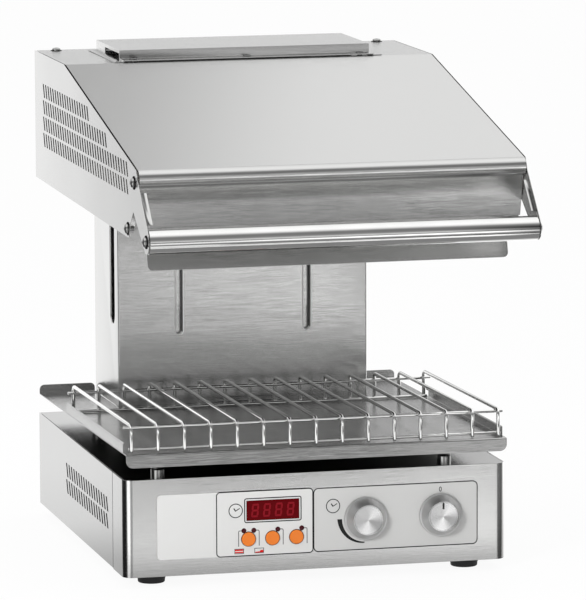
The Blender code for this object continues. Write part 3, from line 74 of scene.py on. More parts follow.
# Sheets: thickness, rounding of cut edges, clearance, thickness seen at the vents, and reach of a cutter
SHEET = 0.0012
EDGE = 0.00035
FIT = 0.0003
VENT_SHEET = 0.0006
REACH = 0.01

# Copies of CAD meshes: distance and angle under which they are merged
MERGE = 1e-5
FLAT = math.radians(0.5)

# Finishes: tint of steel, and how much finer a brushed grain is across than along
STEEL_TINT = (1.0, 1.0, 0.99)
GRAIN = 0.012


class Flow:
    """A value that runs through a finish. Arithmetic on it adds Math nodes."""

    def __init__(self, finish, socket):
        self.finish = finish
        self.socket = socket

    def math(self, operation, *values):
        return self.finish.math_of(operation, *values)

    def __add__(self, other):
        return self.math("ADD", self, other)

    def __sub__(self, other):
        return self.math("SUBTRACT", self, other)

    def __rsub__(self, other):
        return self.math("SUBTRACT", other, self)

    def __mul__(self, other):
        return self.math("MULTIPLY", self, other)

    def __truediv__(self, other):
        return self.math("DIVIDE", self, other)

    def __pow__(self, other):
        return self.math("POWER", self, other)


class Finish:
    """A procedural finish, or the shader of a lamp card or the sky, under construction."""

    def __init__(self, name, tree=None, **sockets):
        self.material = None
        if tree is None:
            self.material = bpy.data.materials.new(name)
            self.material.use_nodes = True
            tree = self.material.node_tree
        self.tree = tree
        self.shader = tree.nodes.get("Principled BSDF")
        self.set(**sockets)

    def put(self, socket, value):
        """Link a flow to a socket, or write a plain value on it."""
        if isinstance(value, Flow):
            self.tree.links.new(value.socket, socket)
        elif hasattr(value, "__len__") and len(value) == 3 and len(socket.default_value) == 4:
            socket.default_value = (*value, 1)
        else:
            socket.default_value = value

    def set(self, **sockets):
        """Write or link sockets of the Principled shader, named with _ for a space."""
        for name, value in sockets.items():
            self.put(self.shader.inputs[name.replace("_", " ")], value)

    def node(self, kind, settings, values, output=0):
        """Add a node: its settings first, then the values or links of its sockets."""
        added = self.tree.nodes.new("ShaderNode" + kind)
        for name, value in settings.items():
            setattr(added, name, value)
        for name, value in values.items():
            self.put(added.inputs[name], value)
        return Flow(self, added.outputs[output])

    def math_of(self, operation, *values):
        """A Math node that has no sign of its own."""
        return self.node("Math", {"operation": operation}, dict(enumerate(values)))

    def place(self, centre=(0, 0, 0), scale=(1, 1, 1)):
        """Object coordinates, centred on a place and then stretched."""
        here = self.node("TexCoord", {}, {}, "Object")
        moved = self.node("Mapping", {}, {"Vector": here, "Location": tuple(-c for c in centre)})
        return self.node("Mapping", {}, {"Vector": moved, "Scale": scale})

    def noise(self, vector, scale, detail=2.0, roughness=0.5):
        """Smooth noise from 0 to 1."""
        values = {"Vector": vector, "Scale": scale, "Detail": detail, "Roughness": roughness}
        return self.node("TexNoise", {}, values)

    def between(self, value, low, high, out_low=0.0, out_high=1.0):
        """A smooth step of a value from one level to another."""
        values = {"Value": value, "From Min": low, "From Max": high, "To Min": out_low, "To Max": out_high}
        return self.node("MapRange", {"interpolation_type": "SMOOTHSTEP"}, values)

    def ramp(self, share, stops, most):
        """A level by a share of the way along the stops: each stop is a place and a level up to most."""
        low, high = stops[0][0], stops[-1][0]
        flow = self.node("ValToRGB", {}, {"Fac": share})
        elements = flow.socket.node.color_ramp.elements
        while len(elements) < len(stops):
            elements.new(0.5)
        for element, (place, level) in zip(elements, stops):
            element.position = (place - low) / (high - low)
            element.color = (*[level / most] * 3, 1)
        return flow * most

    def parts(self, vector):
        """The X, Y and Z of a vector."""
        split = self.node("SeparateXYZ", {}, {0: vector}).socket.node
        return [Flow(self, output) for output in split.outputs]

    def mix(self, share, one, two):
        """A colour between two, by a share of the second."""
        return self.node("Mix", {"data_type": "RGBA"}, {0: share, 6: one, 7: two}, 2)

    def grey(self, level):
        """The grey of a level."""
        return self.node("CombineColor", {}, {0: level, 1: level, 2: level})

    def bump(self, height, depth):
        """A normal that follows a height map of this depth in metres."""
        return self.node("Bump", {}, {"Height": height, "Distance": depth})

    def rays(self):
        """Whether a ray comes from the camera, off a glossy surface or through a clear one."""
        path = self.tree.nodes.new("ShaderNodeLightPath")
        return [Flow(self, path.outputs["Is %s Ray" % kind]) for kind in ("Camera", "Glossy", "Transmission")]

    def emit(self, colour, strength=1.0):
        """A glow."""
        return self.node("Emission", {}, {"Color": colour, "Strength": strength})

    def show(self, shader):
        """Let a shader take the place of the Principled one."""
        self.tree.nodes.remove(self.shader)
        self.tree.links.new(shader.socket, self.tree.nodes["Material Output"].inputs["Surface"])


def shades(colour, spread):
    """A colour made darker and lighter by a share."""
    return [tuple(min(c * share, 1.0) for c in colour) for share in (1 - spread, 1 + spread)]


def brushed(name, grain, tone, depth, roughness=0.2, streak=0.05):
    """Brushed sheet: fine and broad streaks, long along the grain, in colour, roughness and height."""
    finish = Finish(name, Metallic=1.0)
    here = finish.place(scale=[GRAIN if axis in grain else 1.0 for axis in "XYZ"])
    fine = finish.noise(here, 1900, 1.0)
    broad = finish.noise(here, 260)
    cloud = finish.noise(finish.place(), 7.0)
    level = (fine - 0.5) * streak + (broad - 0.5) * streak * 0.4 + (cloud - 0.5) * streak + 0.5
    finish.set(
        Base_Color=finish.mix(level, *shades([tone * c for c in STEEL_TINT], 0.2)),
        Roughness=(cloud - 0.5) * 0.06 + roughness,
        Normal=finish.bump(fine * 0.95 + broad * 0.05, depth),
    )
    return finish.material


def polished(name, tone, roughness, tint=STEEL_TINT):
    """Polished metal: faint haze and drawing marks."""
    finish = Finish(name, Metallic=1.0)
    here = finish.place()
    haze = finish.noise(here, 300, 3.0, 0.6)
    cloud = finish.noise(here, 25.0)
    finish.set(
        Base_Color=finish.mix(cloud, *shades([tone * c for c in tint], 0.07)),
        Roughness=(haze - 0.5) * 0.04 + roughness,
        Normal=finish.bump(haze, 0.000004),
    )
    return finish.material


def moulded(name, colour, roughness, speckle, depth, scale, metallic=0.0, coat=0.0, gloss=0.5):
    """Moulded, painted or printed stuff: a fine texture with small changes of tone."""
    finish = Finish(name, Metallic=metallic, Specular_IOR_Level=gloss)
    here = finish.place()
    grain = finish.noise(here, scale, 3.0, 0.6)
    cloud = finish.noise(here, 40.0)
    finish.set(
        Base_Color=finish.mix(grain * 0.5 + cloud * 0.5, *shades(colour, speckle)),
        Roughness=(grain - 0.5) * 0.12 + roughness,
        Normal=finish.bump(grain, depth),
    )
    if coat:
        finish.set(Coat_Weight=coat, Coat_Roughness=0.05)
    return finish.material


def ink(name, colour):
    """Printing ink: slightly uneven."""
    return moulded(name, colour, 0.45, 0.10, 0.000005, 1500, gloss=0.1)


def spun(name, centre, face):
    """Spun aluminium about an axis along Y: rings by distance from it, painted highlight wedges by angle, a
    softer flank.
    """
    finish = Finish(name, Metallic=1.0)
    x, _, z = finish.parts(finish.place(centre))
    reach = (x * x + z * z) ** 0.5
    rings, slow = [
        finish.node("TexNoise", {"noise_dimensions": "1D"}, {"W": reach, "Scale": scale, "Detail": 2.0})
        for scale in (9000, 900)
    ]
    # Painted highlight: bright and dark wedges by angle round the axis stand for the bow-tie reflection of
    # the spun face
    angle = finish.math_of("ARCTAN2", z, x)
    two_fold_highlight = finish.math_of("COSINE", angle * 2.0 - 2.3)
    three_fold_highlight = finish.math_of("COSINE", angle * 3.0 - 7.8)
    rays = two_fold_highlight * 0.6 + three_fold_highlight * 0.4
    marks = (rings - 0.5) * 0.5 + (slow - 0.5) * 0.3 + 0.5
    flank = finish.between(reach, face - 0.0006, face + 0.0004)
    face_colour = finish.mix(marks + rays * 0.6, *shades((0.54,) * 3, 0.38))
    flank_colour = finish.mix(marks, *shades((0.66,) * 3, 0.15))
    finish.set(
        Base_Color=finish.mix(flank, face_colour, flank_colour),
        Roughness=(rings - 0.5) * 0.1 + flank * 0.14 + 0.22,
        Normal=finish.bump(rings * 0.7 + slow * 0.3, 0.00003),
    )
    return finish.material


def grid(points, wrap_rows=False, wrap_columns=False):
    """A surface over an array of points: rows by columns, each column joined to the next."""
    rows, columns = points.shape[:2]
    row = np.arange(rows if wrap_rows else rows - 1)[:, None]
    column = np.arange(columns if wrap_columns else columns - 1)[None, :]
    next_row, next_column = (row + 1) % rows, (column + 1) % columns
    corners = [row * columns + column, row * columns + next_column,
               next_row * columns + next_column, next_row * columns + column]
    return points.reshape(-1, 3), [np.stack(corners, -1).reshape(-1, 4)]


def capped(points):
    """A closed ring carried along rows, with a flat cap at each end."""
    rows, columns = points.shape[:2]
    places, faces = grid(points, wrap_columns=True)
    ring = np.arange(columns)
    return places, faces + [ring[None, :], (rows - 1) * columns + ring[None, :]]


def round_corners(points, radii, steps, closed=False):
    """A line whose corners are arcs: tangent to both sides, of the given radii."""
    points = np.asarray(points, float)
    count = len(points)
    radii = np.broadcast_to(radii, count)
    line = []
    for index, corner in enumerate(points):
        radius = radii[index]
        if radius == 0 or (not closed and index in (0, count - 1)):
            line.append(corner[None])
            continue
        before = points[index - 1] - corner
        after = points[(index + 1) % count] - corner
        before /= np.linalg.norm(before)
        after /= np.linalg.norm(after)
        half = math.acos(np.clip(before @ after, -1, 1)) / 2
        middle = (before + after) / np.linalg.norm(before + after)
        centre = corner + middle * radius / math.sin(half)
        start = corner + before * radius / math.tan(half) - centre
        end = corner + after * radius / math.tan(half) - centre
        whole = math.pi - 2 * half
        turn = np.linspace(0, 1, steps + 1)[:, None]
        arc = start * np.sin((1 - turn) * whole) + end * np.sin(turn * whole)
        line.append(centre + arc / math.sin(whole))
    return np.concatenate(line)


def beside(line, distance, closed=False):
    """A flat line moved to its left by a distance, with mitred corners."""
    line = np.asarray(line, float)
    step = np.roll(line, -1, 0) - line if closed else np.diff(line, axis=0)
    step /= np.linalg.norm(step, axis=1)[:, None]
    side = np.stack([-step[:, 1], step[:, 0]], 1)
    before = np.roll(side, 1, 0) if closed else np.concatenate([side[:1], side])
    after = side if closed else np.concatenate([side, side[-1:]])
    mitre = before + after
    return line + mitre * distance / np.sum(mitre * before, 1)[:, None]


def carried(outline, low, high, axis):
    """A flat outline at two places along an axis, as two rows of points."""
    points = np.empty((2, len(outline), 3))
    first, second, along = {"X": (1, 2, 0), "Y": (0, 2, 1), "Z": (0, 1, 2)}[axis]
    points[..., first] = outline[:, 0]
    points[..., second] = outline[:, 1]
    points[..., along] = np.array([low, high])[:, None]
    return points


def bent_sheet(line, thickness, low, high, axis="X"):
    """A folded sheet: a flat line and its copy beside it, carried along one axis and closed all round."""
    outer = np.asarray(line, float)
    count = len(outer)
    ring = np.concatenate([outer, beside(outer, thickness)[::-1]])
    places, faces = grid(carried(ring, low, high, axis), wrap_columns=True)
    one = np.arange(count - 1)
    end = np.stack([one, one + 1, 2 * count - 2 - one, 2 * count - 1 - one], 1)
    return places, faces + [end, end + 2 * count]


def prism(outline, low, high, axis="Y"):
    """A flat outline given a thickness along one axis."""
    return capped(carried(np.asarray(outline, float), low, high, axis))


def hole(outline, face, axis="Y", reach=REACH):
    """A cutter through a sheet: a flat outline carried to both sides of its face."""
    return prism(outline, face - reach, face + reach, axis)


def rectangle(x0, x1, z0, z1):
    """Four corners, counter-clockwise."""
    return np.array([(x0, z0), (x1, z0), (x1, z1), (x0, z1)], float)


def rounded(x0, x1, z0, z1, radius, steps):
    """A rectangle with rounded corners: one radius, or one for each corner."""
    return round_corners(rectangle(x0, x1, z0, z1), radius, steps, closed=True)


def block(low, high):
    """A block between two corners."""
    return prism(rectangle(low[0], high[0], low[2], high[2]), low[1], high[1])


def circle(x, z, radius, steps=48):
    """Points round a circle."""
    turn = np.linspace(0, math.tau, steps, endpoint=False)
    return np.stack([x + radius * np.cos(turn), z + radius * np.sin(turn)], 1)


def aside_of(axis):
    """A direction square to an axis."""
    aside = np.cross(axis, UP if abs(axis[2]) < 0.9 else (1, 0, 0))
    return aside / np.linalg.norm(aside)


def turned(profile, centre, axis, steps):
    """A profile of (radius, height) points turned about an axis through a centre."""
    profile = np.asarray(profile, float)
    axis = np.asarray(axis, float)
    aside = aside_of(axis)
    turn = np.linspace(0, math.tau, steps, endpoint=False)
    spoke = np.cos(turn)[:, None] * aside + np.sin(turn)[:, None] * np.cross(axis, aside)
    points = np.asarray(centre) + profile[:, 1, None, None] * axis + profile[:, 0, None, None] * spoke
    hollow = profile[0, 0] > 0
    return grid(points, wrap_rows=hollow, wrap_columns=True)


def tube(path, radius, across):
    """A round wire along a path in a plane of normal across: rings square to the path, and rounded ends."""
    path = np.asarray(path, float)
    run = np.gradient(path, axis=0)
    inner = path[1:-1]
    before = inner - path[:-2]
    after = path[2:] - inner
    before /= np.linalg.norm(before, axis=1)[:, None]
    after /= np.linalg.norm(after, axis=1)[:, None]
    run[1:-1] = before + after
    run /= np.linalg.norm(run, axis=1)[:, None]
    dome = 0.35 * radius * np.array([0, 1, 2, 3])[:, None] / 3
    dome_sizes = np.sqrt(1 - (0.8 * np.array([3, 2, 1]) / 3) ** 2)
    places = np.concatenate([path[0] + run[0] * dome, inner, path[-1] - run[-1] * dome[::-1]])
    runs = np.concatenate([np.repeat(run[:1], 3, 0), run, np.repeat(run[-1:], 3, 0)])
    scale = np.concatenate([dome_sizes, np.ones(len(path)), dome_sizes[::-1]]) * radius
    across = np.asarray(across, float)
    up = np.cross(runs, across)
    up /= np.linalg.norm(up, axis=1)[:, None]
    turn = np.linspace(0, math.tau, 16, endpoint=False)
    ring = np.cos(turn)[None, :, None] * across + np.sin(turn)[None, :, None] * up[:, None]
    return capped(places[:, None] + scale[:, None, None] * ring)


def printed(left, right, y, closed=False):
    """A printed band between two lines on the front, raised by the thickness of the ink."""
    points = np.empty((len(left), 4, 3))
    for column, (edge, depth) in enumerate(((left, y), (right, y), (right, y - PRINT), (left, y - PRINT))):
        points[:, column, 0] = edge[:, 0]
        points[:, column, 1] = depth
        points[:, column, 2] = edge[:, 1]
    return grid(points, wrap_rows=True, wrap_columns=True) if closed else capped(points)


def ribbon(line, width, y, closed=False):
    """A printed line of one width."""
    return printed(beside(line, width / 2, closed), beside(line, -width / 2, closed), y, closed)


def mesh_of(name, shapes, outwards=True):
    """One mesh from shapes, each its points and its faces: welded, and with its faces turned outwards."""
    points, faces, base = [], [], 0
    for places, groups in shapes:
        points.append(places)
        for group in groups:
            faces.extend((np.asarray(group) + base).tolist())
        base += len(places)
    mesh = bpy.data.meshes.new(name)
    mesh.from_pydata(np.concatenate(points).tolist(), [], faces)
    work = bmesh.new()
    work.from_mesh(mesh)
    bmesh.ops.remove_doubles(work, verts=work.verts, dist=1e-6)
    if outwards:
        bmesh.ops.recalc_face_normals(work, faces=work.faces)
    work.to_mesh(mesh)
    work.free()
    return mesh


def linked(name, data):
    """A new object in the scene."""
    obj = bpy.data.objects.new(name, data)
    bpy.context.scene.collection.objects.link(obj)
    return obj


def with_cuts(mesh, shapes):
    """The mesh less the shapes that are cut out of it."""
    whole = linked("whole", mesh)
    cutter = linked("cutter", mesh_of("cutter", shapes))
    step = whole.modifiers.new("cut", "BOOLEAN")
    step.operation = "DIFFERENCE"
    step.solver = "EXACT"
    step.object = cutter
    graph = bpy.context.evaluated_depsgraph_get()
    result = bpy.data.meshes.new_from_object(whole.evaluated_get(graph))
    for obj in (whole, cutter):
        bpy.data.objects.remove(obj)
    return result


def add_piece(name, shapes, material, body, slot, replaces=(), cuts=(), **look):
    """One piece of the object from its shapes, less its cuts, with a finish and a body to ride on."""
    mesh = mesh_of(name, shapes)
    if cuts:
        mesh = with_cuts(mesh, cuts)
    dress(name, mesh, material, body, slot, replaces, **look)


def dress(name, mesh, material, body, slot, replaces=(), sharp=35, bevel=0.0, segments=2, inside=None):
    """Make a mesh a named piece: smooth but for its corners, with rounded edges, on its body.

    inside is a direction and a second finish of painted shade for the faces that look that way. With the two
    corners of a box, only the walls of the slots in it, square to the direction, take the second finish.
    """
    mesh.name = name
    obj = linked(name, mesh)
    mesh.shade_smooth()
    mesh.set_sharp_from_angle(angle=math.radians(sharp))
    mesh.materials.clear()
    mesh.materials.append(material)
    if inside:
        direction, second, *region = inside
        mesh.materials.append(second)
        normals = np.empty(len(mesh.polygons) * 3, np.float32)
        mesh.polygons.foreach_get("normal", normals)
        facing = normals.reshape(-1, 3) @ np.array(direction, np.float32)
        chosen = facing > 0.9
        if region:
            centres = np.array([polygon.center for polygon in mesh.polygons])
            within = np.all((centres > region[0]) & (centres < region[1]), axis=1)
            chosen = within & (np.abs(facing) < 0.5)
        mesh.polygons.foreach_set("material_index", chosen.astype(np.int32))
    if bevel:
        step = obj.modifiers.new("rounded_edges", "BEVEL")
        step.width = bevel
        step.segments = segments
        step.limit_method = "ANGLE"
        step.angle_limit = math.radians(sharp)
        step.harden_normals = True
    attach(obj, body)
    if replaces:
        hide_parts(*replaces)


def merged(node, change=None):
    """A copy of a CAD node's mesh, merged into whole faces, whose corners a function may then change."""
    mesh = NODES[node].data.copy()
    work = bmesh.new()
    work.from_mesh(mesh)
    bmesh.ops.remove_doubles(work, verts=work.verts, dist=MERGE)
    bmesh.ops.dissolve_limit(work, angle_limit=FLAT, verts=work.verts, edges=work.edges)
    if change:
        change(work.verts)
    work.to_mesh(mesh)
    work.free()
    return mesh


def softened(node, material, slot, bevel=EDGE, inside=None):
    """A CAD sheet with its cut edges rounded."""
    body = NODES[node]["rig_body"]
    dress(node + "_sheet", merged(node), material, body, slot, (node,), sharp=30, bevel=bevel, inside=inside)


def side_plate(node, side, low, high):
    """A side plate as it looks at its slots: thinned from within, and with painted shade on the slots' walls.
    """
    def thin(verts):
        """Bring the corners of the inner face to the vents' thickness from the outer face."""
        places = [side * vert.co.x for vert in verts]
        outer = max(places)
        inner = max(place for place in places if place < outer - 1e-4)
        for vert in verts:
            if abs(side * vert.co.x - inner) < 1e-4:
                vert.co.x = side * (outer - VENT_SHEET)

    region = ((-1, REAR_Y - low[0], low[1]), (1, REAR_Y - high[0], high[1]))
    dress(
        node + "_sheet", merged(node, thin), SHEET_Y, NODES[node]["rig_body"], "steel", (node,),
        sharp=30, bevel=0.00015, inside=((-side, 0, 0), SLOT_SHADE_AND_WASHER_BLACK, *region),
    )


def coat_node(node, material):
    """Give a CAD node that stays its finish."""
    mesh = NODES[node].data
    mesh.materials.clear()
    mesh.materials.append(material)


def measured(node):
    """A node's low and high corner, its middle and half its width."""
    low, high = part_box(node)
    return low, high, (np.array(low) + np.array(high)) / 2, (high.x - low.x) / 2


# Finishes
SHEET_X = brushed("brushed_sheet_level", "X", 0.60, 0.00007)
SHEET_WRAP = brushed("brushed_wrap", "XY", 0.60, 0.00007)
SHEET_Y = brushed("brushed_sheet_side", "Y", 0.58, 0.00010)
SHEET_LIP = brushed("brushed_lip", "Z", 0.62, 0.00004, 0.12)
SHEET_TRAY = brushed("brushed_sheet_tray", "X", 0.44, 0.00012, 0.15, 0.08)
SHEET_TOP = brushed("rolled_sheet_top", "X", 0.43, 0.00003, 0.10)
# Painted shade: a near-black sheet on the inner faces of the rear panels and on the tray's underside
PAINTED_SHADE_SHEET = moulded("painted_shade_sheet", (0.016, 0.016, 0.015), 0.6, 0.2, 0.00003, 200, gloss=0.08)
# Painted shade on the walls of the side plates' slots, near-black; the washers under the screws take it as
# their black
SLOT_SHADE_AND_WASHER_BLACK = moulded("slot_shade", (0.006, 0.006, 0.006), 0.7, 0.2, 0.00003, 200, gloss=0.02)
SATIN = moulded("satin_lip", (0.64, 0.64, 0.63), 0.35, 0.04, 0.00001, 500)
LIP_SHADE = moulded("slot_wall_shade", (0.12, 0.12, 0.118), 0.6, 0.2, 0.00003, 200, gloss=0.1)
SHEET_PLAIN = moulded("zinc_sheet", (0.45, 0.46, 0.47), 0.42, 0.10, 0.00002, 300, metallic=1.0)
TUBE = polished("polished_tube", 0.74, 0.09)
WIRE = polished("bright_wire", 0.84, 0.07)
POLISHED = polished("polished_steel", 0.72, 0.12)
SCREW_STEEL = polished("screw_steel", 0.42, 0.14)
CAP_SCREW_STEEL = polished("cap_screw_steel", 0.16, 0.2)
CAST = moulded("machined_aluminium", (0.52, 0.53, 0.54), 0.38, 0.08, 0.00003, 500, metallic=1.0)
BRASS = polished("turned_brass", 0.65, 0.25, (1.0, 0.80, 0.38))
RUBBER = moulded("foot_rubber", (0.016, 0.016, 0.017), 0.62, 0.25, 0.00008, 700)
NYLON = moulded("black_nylon", (0.020, 0.020, 0.021), 0.45, 0.2, 0.00003, 500)
FILM = moulded("overlay_film", (0.66, 0.66, 0.652), 0.42, 0.015, 0.00001, 1200)
FILM_RIGHT = moulded("panel_film", (0.57, 0.57, 0.562), 0.38, 0.02, 0.00001, 1200)
PANE = moulded("display_pane", (0.100, 0.002, 0.004), 0.15, 0.05, 0.000002, 200, gloss=0.03)
DIGIT = moulded("display_segment", (0.215, 0.008, 0.014), 0.25, 0.05, 0.000002, 200, gloss=0.03)
LENS = moulded("lamp_lens", (0.045, 0.002, 0.006), 0.18, 0.08, 0.000002, 300, gloss=0.25)
ORANGE = moulded("button_orange", (0.76, 0.185, 0.012), 0.38, 0.03, 0.00002, 900)
SWITCH = moulded("switch_plastic", (0.74, 0.73, 0.69), 0.5, 0.04, 0.00003, 600)
BOARD = moulded("circuit_board", (0.02, 0.13, 0.05), 0.42, 0.12, 0.00002, 500)
INK = ink("black_ink", (0.018, 0.018, 0.018))
GREY_INK = ink("grey_ink", (0.16, 0.16, 0.16))
RED_INK = ink("red_ink", (0.62, 0.012, 0.012))
ENAMEL = moulded("black_enamel", (0.015, 0.015, 0.016), 0.32, 0.1, 0.00001, 500)
GLASS = moulded("black_glass", (0.010, 0.008, 0.008), 0.08, 0.1, 0.000002, 100, coat=0.3)
FIBRE = moulded("mineral_fibre", (0.74, 0.72, 0.67), 0.9, 0.10, 0.0003, 300)
SHEATH = moulded("heater_sheath", (0.10, 0.09, 0.085), 0.5, 0.25, 0.00004, 400, metallic=1.0)

# Places read from the frame
REAR_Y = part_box("hood_left_side")[1].y
BASE_LOW, BASE_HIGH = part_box("base_front_panel")
SKIN = BASE_LOW.y
OVERLAY_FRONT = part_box("control_overlay")[0].y

# Control panel: places measured along X and Z, radii of the holes behind it, and printed lines
KNOBS = ("knob_timer", "knob_power")
BUTTONS = ("button_left", "button_middle", "button_right")
LAMP_SIDES = (-0.0904, -0.0781, -0.0484, -0.0188)
LAMP_HEIGHT = 0.0643
CLOCKS = ((-0.1004, 0.0891), (0.0204, 0.0890))
CLOCK_RADIUS = 0.0083
LEFT_FIELD = (-0.1240, -0.0049, 0.0337, 0.1122)
RIGHT_FIELD = (-0.0043, 0.2015, 0.0335, 0.1120)
RIGHT_FILM = 0.00025
SPINDLE_HOLE = 0.005
BUTTON_HOLE = 0.0087
LAMP_HOLE = 0.0029
LINE = 0.00125
THIN_LINE = 0.00110
PRINT = 0.00006


def make_base():
    """The housing: a panel that wraps round both front corners, and the flat sheets behind it."""
    half, seam = BASE_HIGH.x, BASE_HIGH.y - 0.0016
    corners = [(-half, seam), (-half, SKIN), (half, SKIN), (half, seam)]
    wrap = round_corners(corners, (0, 0.0126, 0.0126, 0), 18)
    low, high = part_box("display_window")
    cuts = [hole(rectangle(low.x - FIT, high.x + FIT, low.z - FIT, high.z + FIT), SKIN)]
    for nodes, radius in ((KNOBS, SPINDLE_HOLE), (BUTTONS, BUTTON_HOLE)):
        for node in nodes:
            x, _, z = measured(node)[2]
            cuts.append(hole(circle(x, z, radius), SKIN))
    cuts += [hole(circle(x, LAMP_HEIGHT, LAMP_HOLE, 24), SKIN) for x in LAMP_SIDES]
    panel = bent_sheet(wrap, SHEET, BASE_LOW.z, BASE_HIGH.z, "Z")
    add_piece(
        "base_front_wrap", [panel], SHEET_WRAP, "root", "steel", ("base_front_panel",), cuts,
        bevel=EDGE, segments=3,
    )
    side_plate("base_left_panel", -1, (0.46, 0.040), (0.16, 0.105))
    side_plate("base_right_panel", 1, (0.46, 0.040), (0.16, 0.105))
    # The rear panel's inner face, looking into the base, takes painted shade
    softened("base_rear_panel", SHEET_X, "steel", inside=((0, -1, 0), PAINTED_SHADE_SHEET))
    softened("base_top_plate", SHEET_TOP, "steel")
    softened("base_floor", SHEET_PLAIN, "steel")


def make_feet():
    """Rubber feet: a turned pad with a moulded step and a rounded sole."""
    for node in ("foot_front_left", "foot_front_right", "foot_rear_left", "foot_rear_right"):
        _, high, (x, y, _), radius = measured(node)
        outline = round_corners(
            [(0, high.z), (radius, high.z), (radius, 0.0060), (radius - 0.0006, 0.0054), (radius - 0.0012, 0),
             (0.006, 0), (0.005, 0.0015), (0, 0.0015)],
            (0, 0.0008, 0.0005, 0.0005, 0.0014, 0.0006, 0.0006, 0), 4,
        )
        add_piece(node + "_pad", [turned(outline, (x, y, 0), UP, 72)], RUBBER, "root", "foot_rubber", (node,))


def make_gland():
    """The cable gland: flange, hexagon and a domed nut round an open bore."""
    low, high, (x, _, z), radius = measured("cable_gland")
    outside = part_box("base_rear_panel")[1].y
    reach = high.y - outside
    dome = round_corners(
        [(0.0045, reach), (radius * 0.78, reach), (radius * 0.92, reach * 0.45), (radius, reach * 0.45),
         (radius, 0), (0.0085, 0), (0.0085, low.y - outside), (0.0045, low.y - outside)],
        (0.0004, 0.002, 0, 0.0004, 0.0003, 0, 0.0003, 0.0003), 4,
    )
    nut = turned(dome, (x, outside, z), (0, 1, 0), 60)
    add_piece("cable_gland_nut", [nut], NYLON, "root", "gland_nylon", ("cable_gland",))


def clock(x, z, y):
    """A clock sign: a ring and two hands."""
    return [
        ribbon(circle(x, z, CLOCK_RADIUS, 64), THIN_LINE, y, closed=True),
        ribbon([(x - 0.0001, z - 0.0006), (x - 0.0024, z + 0.0030)], 0.0014, y),
        ribbon([(x - 0.0003, z - 0.0004), (x + 0.0050, z + 0.0028)], 0.0011, y),
    ]


def dial_arc(x, z, y):
    """The band beside the timer's knob, from its left to below it, that grows thinner."""
    turn = np.radians(np.linspace(180, 268, 40))
    spoke = np.stack([np.cos(turn), np.sin(turn)], 1)
    inner, wide = 0.0289, np.linspace(0.0060, 0.0016, 40)[:, None]
    return printed((x, z) + spoke * inner, (x, z) + spoke * (inner + wide), y)


def make_panel():
    """The films of the control panel and what is printed on them."""
    softened("control_overlay", FILM, "overlay_film", 0.00012)
    y, film_y = OVERLAY_FRONT, SKIN - RIGHT_FILM
    centres = {node: measured(node)[2] for node in KNOBS + BUTTONS}
    holes = [hole(circle(centres[node][0], centres[node][2], SPINDLE_HOLE), SKIN) for node in KNOBS]
    film = prism(rounded(*RIGHT_FIELD, 0.006, 10), film_y, SKIN)
    add_piece("panel_film_right", [film], FILM_RIGHT, "root", "overlay_film", cuts=holes)

    x0, x1, z0, z1 = RIGHT_FIELD
    inset = LINE / 2
    low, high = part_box("display_window")
    right_line = rounded(x0 + inset, x1 - inset, z0 + inset, z1 - inset, 0.0058, 10)
    window_line = rounded(low.x - 0.0024, high.x + 0.0024, low.z - 0.0022, high.z + 0.0026, 0.0022, 8)
    black = [
        ribbon(rounded(*LEFT_FIELD, 0.0045, 10), LINE, y, closed=True),
        ribbon(right_line, LINE, film_y, closed=True),
        ribbon(window_line, LINE, y, closed=True),
        *clock(*CLOCKS[0], y), *clock(*CLOCKS[1], film_y),
    ]
    for node in BUTTONS:
        x, _, z = centres[node]
        black.append(ribbon(circle(x, z, 0.0089), 0.0007, y, closed=True))
    x, _, z = centres["knob_timer"]
    black.append(dial_arc(x, z, film_y))
    zero = circle(0, 0, 1, 40) * (0.0013, 0.0026) + (centres["knob_power"][0] + 0.0003, 0.1033)
    black.append(ribbon(zero, 0.0009, film_y, closed=True))
    add_piece("control_print_black", black, INK, "root", "overlay_film")

    grey = []
    for lamp, side in zip(LAMP_SIDES, (-1, 1, 1, 1)):
        turn_x = lamp + side * 0.0066
        line = [(lamp + side * 0.0028, LAMP_HEIGHT), (turn_x, LAMP_HEIGHT), (turn_x, 0.0452)]
        grey.append(ribbon(round_corners(line, (0, 0.0016, 0), 6), THIN_LINE, y))
    add_piece("control_print_grey", grey, GREY_INK, "root", "overlay_film")

    wedge = [(-0.0764, 0.0370), (-0.0664, 0.0370), (-0.0664, 0.0400),
             (-0.0700, 0.0398), (-0.0708, 0.0382), (-0.0764, 0.0380)]
    red = [
        ribbon([(-0.1014, 0.0408), (-0.0912, 0.0408)], 0.0018, y),
        ribbon([(-0.1014, 0.0381), (-0.0912, 0.0381)], 0.0016, y),
        prism(wedge, y - PRINT, y),
    ]
    add_piece("control_print_red", red, RED_INK, "root", "overlay_film")
    frames = [
        ribbon(rectangle(x - 0.0055, x + 0.0055, 0.0366, 0.0422), 0.0007, y, closed=True)
        for x in (-0.0963, -0.0716)
    ]
    add_piece("control_print_frames", frames, INK, "root", "overlay_film")


# Digits of the display: height, width and pitch, and thickness, lean and gap of their bars
DIGIT_TALL = 0.0165
DIGIT_WIDE = 0.0090
DIGIT_PITCH = 0.0146
BAR = 0.0023
BAR_LEAN = 0.10
BAR_GAP = 0.0003


def bar(half, upright):
    """A bar of a digit with pointed ends, level or upright, about the origin."""
    end = BAR / 2
    outline = np.array([
        (end - half, -end), (half - end, -end), (half, 0), (half - end, end), (end - half, end), (-half, 0),
    ])
    return outline[:, ::-1] if upright else outline


